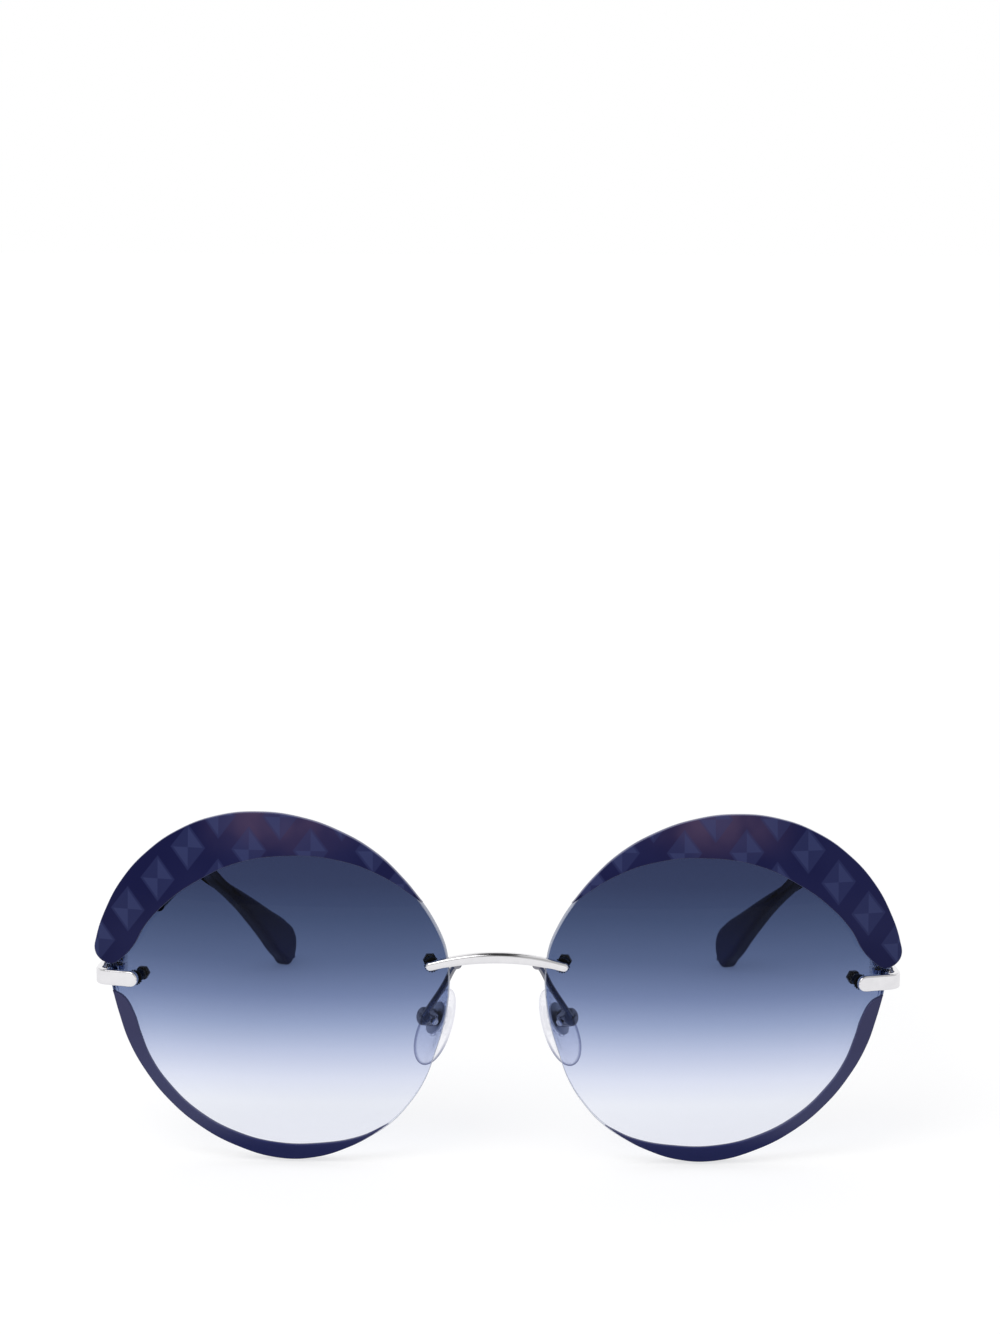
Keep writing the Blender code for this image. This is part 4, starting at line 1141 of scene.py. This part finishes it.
def make_temple(side):
    """The metal arm with its hinge eye and core, and the acetate tip bent down and in behind the ear."""
    body = "temple_" + side
    end, half, end_half = ARM_LENGTH - SEAT_GAP, ARM_HEIGHT / 2, ARM_END_HEIGHT / 2
    outline = (
        (0, 0), (0, half), (end, ARM_RISE + end_half),
        (end, ARM_RISE), (end, ARM_RISE - end_half), (0, -half),
    )
    shape = metal_bar(outline, range(len(outline)), 3, ARM_THICKNESS)
    reach = KNUCKLE_MIDDLE / 2
    shape = merged(formed_along(shape, temple_path(), ARM_THICKNESS, HINGE.z),
                   core_bar(CORE_RADIUS, -OVERRUN, CORE_LENGTH), *knuckle(-reach, reach, 1))
    finished(shape, side, "metal", body, "temple_arm", "temple")
    outline = [(share[0] * TEMPLE_REACH, share[1] * HINGE.z) for share in TIP_SHARES]
    outline[0], outline[-1] = (ARM_LENGTH, outline[0][1]), (ARM_LENGTH, outline[-1][1])
    start = (ARM_LENGTH, (outline[0][1] + outline[-1][1]) / 2)
    shape = rounded_blank([start] + outline, (0, 1, len(outline)), TIP_END_INDEX, TIP_THICKNESS,
                          TIP_EDGE_RADIUS, ROUND_TIP, BAND_ACROSS_STEPS, "tip")
    shape = without(formed_along(shape, temple_path(), TIP_THICKNESS, 0.0),
                    core_bar(CORE_RADIUS + SEAT_GAP, -OVERRUN, CORE_LENGTH + SEAT_GAP))
    finished(shape, side, "tip", body, "acetate_tip", "temple_tip")


# The nose pads

def pad_frame():
    """At the pad's screw: X runs down the pad, Y along the screw, Z from the box into the pad."""
    down = Vector((math.sin(PAD_SPREAD), 0, -math.cos(PAD_SPREAD)))
    inward = Vector((-math.cos(PAD_SPREAD), 0, -math.sin(PAD_SPREAD)))
    out = inward * math.sin(PAD_TURN) + Vector((0, 1, 0)) * math.cos(PAD_TURN)
    turn = Matrix((down, out.cross(down), out)).transposed().to_4x4()
    return Matrix.Translation(PIVOTS["pad_rock_left"]) @ turn


PAD_FRAME = pad_frame()
SCREW_FRAME = PAD_FRAME @ Matrix.Rotation(-math.pi / 2, 4, "X")


def pad_wire():
    """The bent wire from the bridge's back to the box, with the solder bead at its root."""
    root = Vector((PAD_ROOT_X, BRIDGE_MIDDLE_Y + bridge_depth(PAD_ROOT_X) / 2 + SEAT_GAP, BRIDGE_HEIGHT))
    way = PAD_FRAME @ Vector((0, 0, BOX_BACK - BOX_BACK_WALL / 2)) - root
    route = [root - Vector((0, SEAT_GAP * 2, 0)), root]
    route += [root + way * Vector(shares) for shares in PAD_WIRE_SHARES]
    route.append(PAD_FRAME @ Vector((0, 0, BOX_BACK + BOX_BACK_WALL / 2)))
    wire = smooth_curve(route, "3D")
    wire.data.bevel_depth = PAD_WIRE_RADIUS
    wire.data.bevel_resolution = WIRE_BEVEL_STEPS
    wire.data.use_fill_caps = True
    shape = taken_up(wire)
    bmesh.ops.remove_doubles(shape, verts=shape.verts, dist=WELD)
    bead = bmesh.new()
    bmesh.ops.create_uvsphere(bead, u_segments=ROUND_SIDES, v_segments=PAD_RINGS, radius=SOLDER_RADIUS)
    bead.transform(Matrix.Translation(root) @ Matrix.Diagonal((*SOLDER_SHARES, 1.0)))
    return merged(shape, bead)


def make_pad_arm(side):
    """The wire with the round box that holds the pad's lug, and the screw through the box."""
    box = round_bar(BOX_RADIUS, BOX_BACK, BOX_FRONT, PAD_FRAME, BOX_EASE)
    rock = LUG_DEPTH * math.sin(PAD_ROCK) + SEAT_GAP
    half_length, half_width = LUG_WIDTH / 2 + rock, LUG_THICKNESS / 2 + SCREW_GAP
    pocket = block((-half_length, -half_width, BOX_BACK + BOX_BACK_WALL),
                   (half_length, half_width, BOX_FRONT + OVERRUN), PAD_FRAME)
    bore = round_bar(PAD_SCREW_RADIUS + SCREW_GAP, -BOX_RADIUS - OVERRUN, BOX_RADIUS + OVERRUN, SCREW_FRAME)
    shape = merged(without(box, pocket, bore), pad_wire())
    finished(shape, side, "wire", "front", "bent_pad_arm", "pad_arm")
    shape = slotted_screw(PAD_SCREW_HEAD_RADIUS, PAD_SCREW_HEAD_HEIGHT, PAD_SCREW_RADIUS,
                          BOX_RADIUS + SCREW_GAP, -BOX_RADIUS, SCREW_FRAME)
    finished(shape, side, "metal", "front", "slotted_pad_screw", "pad_screw")


def oval(half_length, half_width, low, high):
    """An oval disc in the pad's frame."""
    stretch = Matrix.Diagonal((half_length / half_width, 1.0, 1.0, 1.0))
    return round_bar(half_width, low, high, PAD_FRAME @ stretch)


def make_pad(side):
    """The coin with the lug that goes into the box, and the soft pad round the coin."""
    body = "pad_" + side
    low = BOX_FRONT + COIN_STAND_OFF
    lug = block((-LUG_WIDTH / 2, -LUG_THICKNESS / 2, -LUG_DEPTH),
                (LUG_WIDTH / 2, LUG_THICKNESS / 2, low + COIN_THICKNESS / 2), PAD_FRAME, SMALL_EASE)
    bore = round_bar(PAD_SCREW_RADIUS + SCREW_GAP, -OVERRUN, OVERRUN, SCREW_FRAME)
    coin = oval(COIN_HALF_LENGTH, COIN_HALF_WIDTH, low, low + COIN_THICKNESS)
    finished(merged(coin, without(lug, bore)), side, "coin", body, "pad_coin", "pad_insert")
    shape = bmesh.new()
    bmesh.ops.create_uvsphere(shape, u_segments=PAD_SIDES, v_segments=PAD_RINGS, radius=1.0)
    # the rim mark, painted darker as shade in the pad material
    rim = shape.verts.layers.float.new("rim")
    for vertex in shape.verts:
        down, across, up = vertex.co
        vertex[rim] = min(1.0, max(0.0, PAD_RIM_SLOPE * (PAD_RIM_SHARE - abs(up))))
        vertex.co = (down * PAD_LENGTH / 2 + PAD_DROP, across * PAD_WIDTH / 2 * (1 + PAD_TAPER_SHARE * down),
                     up * PAD_THICKNESS / 2 + low + PAD_THICKNESS / 2)
    shape.transform(PAD_FRAME)
    recess = oval(COIN_HALF_LENGTH + SEAT_GAP, COIN_HALF_WIDTH + SEAT_GAP, low - OVERRUN,
                  low + COIN_THICKNESS + SEAT_GAP)
    finished(without(shape, recess), side, "pad", body, "soft_pad", "nose_pad")


# The studio

CAMERA_X = 0.0068
CAMERA_Z = 0.16678
CAMERA_DISTANCE = 0.480
CAMERA_YAW = math.radians(-0.769)
CAMERA_PITCH = math.radians(9.467)
CAMERA_ROLL = math.radians(-0.16)
FOCAL_PIXELS = 2926
IMAGE_HEIGHT = 1334
SENSOR = 36.0
CLIP_START = 0.01
FILL_LIGHT = 0.80
LAMP_PLACE = Vector((-0.35, -0.55, 0.75))
LAMP_TARGET = Vector((0, 0, 0.03))
LAMP_SIZE = 0.5
LAMP_POWER = 2.2
FLOOR_HALF_SIZE = 6.0
FLOOR_TONE = (0.47, 0.47, 0.475, 1.0)
# painted shade: the floor's glow is weaker near the object, darkening the floor round it
FLOOR_DISTANCES = (0.2, 1.2)
FLOOR_GLOWS_SHADED_NEAR = (0.59, 0.65)
FLOOR_MIRRORED_SHARE = 0.8


def make_camera():
    """The view of the photograph: a little from above, with the sensor along the image's long side."""
    data = bpy.data.cameras.new("camera")
    data.sensor_width = SENSOR
    data.lens = FOCAL_PIXELS / IMAGE_HEIGHT * SENSOR
    data.clip_start = CLIP_START
    camera = linked("camera", data)
    turn = Matrix.Rotation(-CAMERA_YAW, 4, "Z") @ Matrix.Rotation(math.pi / 2 - CAMERA_PITCH, 4, "X")
    place = Matrix.Translation((CAMERA_X, APEX_Y - CAMERA_DISTANCE, CAMERA_Z))
    camera.matrix_world = place @ turn @ Matrix.Rotation(-CAMERA_ROLL, 4, "Z")
    bpy.context.scene.camera = camera


def make_world():
    """White where the background shows, and for metal and glass a dimmer front and a dark gap overhead."""
    world = bpy.data.worlds.new("studio")
    bpy.context.scene.world = world
    world.use_nodes = True
    tree = world.node_tree
    tree.nodes.clear()
    rays = tree.nodes.new("ShaderNodeLightPath").outputs
    seen = maths(tree, "MAXIMUM", rays["Is Camera Ray"], rays["Is Transmission Ray"])
    way = axes_of(tree, tree.nodes.new("ShaderNodeTexCoord").outputs["Generated"])
    behind = from_range(tree, way["Y"], -0.30, 0.40, 0.62, 1.0)
    gap = from_range(tree, maths(tree, "ABSOLUTE", way["X"]), 0.10, 0.15, 0.95, 0.22)
    overhead = times(tree, gap, from_range(tree, way["Z"], 0.30, 0.55))
    studio = times(tree, behind, maths(tree, "SUBTRACT", 1.0, overhead))
    glossy = times(tree, rays["Is Glossy Ray"], maths(tree, "SUBTRACT", studio, FILL_LIGHT))
    strength = maths(tree, "MAXIMUM", seen, maths(tree, "ADD", glossy, FILL_LIGHT))
    background = add_node(tree, "ShaderNodeBackground", {"Color": WHITE, "Strength": strength})
    add_node(tree, "ShaderNodeOutputWorld", {"Surface": background.outputs[0]})


def make_lamp():
    """One square lamp in front of the object and above it, towards the photograph's left."""
    data = bpy.data.lights.new("key_lamp", "AREA")
    data.shape = "SQUARE"
    data.size = LAMP_SIZE
    data.energy = LAMP_POWER
    lamp = linked("key_lamp", data)
    lamp.location = LAMP_PLACE
    lamp.rotation_euler = (LAMP_TARGET - LAMP_PLACE).to_track_quat("-Z", "Y").to_euler()


def floor_surface(tree):
    """Pale, and made white by a glow that only the view and reflections see, a stronger one far away, so
    that the floor near the object holds painted shade.
    """
    rays = tree.nodes.new("ShaderNodeLightPath").outputs
    mirrored = times(tree, rays["Is Glossy Ray"], FLOOR_MIRRORED_SHARE)
    seen = maths(tree, "MAXIMUM", rays["Is Camera Ray"], mirrored)
    away = add_node(tree, "ShaderNodeVectorMath", {0: object_places(tree)}, operation="LENGTH")
    # painted shade: a weaker glow near the object, a stronger one far away
    white = from_range(tree, away.outputs["Value"], *FLOOR_DISTANCES, *FLOOR_GLOWS_SHADED_NEAR)
    glow = add_node(tree, "ShaderNodeEmission", {"Strength": times(tree, seen, white)}).outputs[0]
    diffuse = shader(tree, "Diffuse", {"Color": FLOOR_TONE})
    return add_node(tree, "ShaderNodeAddShader", {0: diffuse, 1: glow}).outputs[0]


def make_floor():
    """A pale floor that is white where nothing shades it, with a faint shadow below the object and painted
    shade round it.
    """
    shape = bmesh.new()
    bmesh.ops.create_grid(shape, x_segments=1, y_segments=1, size=FLOOR_HALF_SIZE)
    mesh = laid_down(shape, "floor")
    mesh.materials.append(new_material("pale_floor", floor_surface))
    linked("floor", mesh)


make_bridge()
for side in ("left", "right"):
    make_lens(side)
    make_bands(side)
    make_fixings(side, "bridge", BRIDGE_SEAT)
    make_fixings(side, "end_piece", END_SEAT)
    make_end_piece(side)
    make_temple(side)
    make_pad_arm(side)
    make_pad(side)
make_camera()
make_world()
make_floor()
make_lamp()
bpy.context.scene.view_settings.view_transform = "Standard"
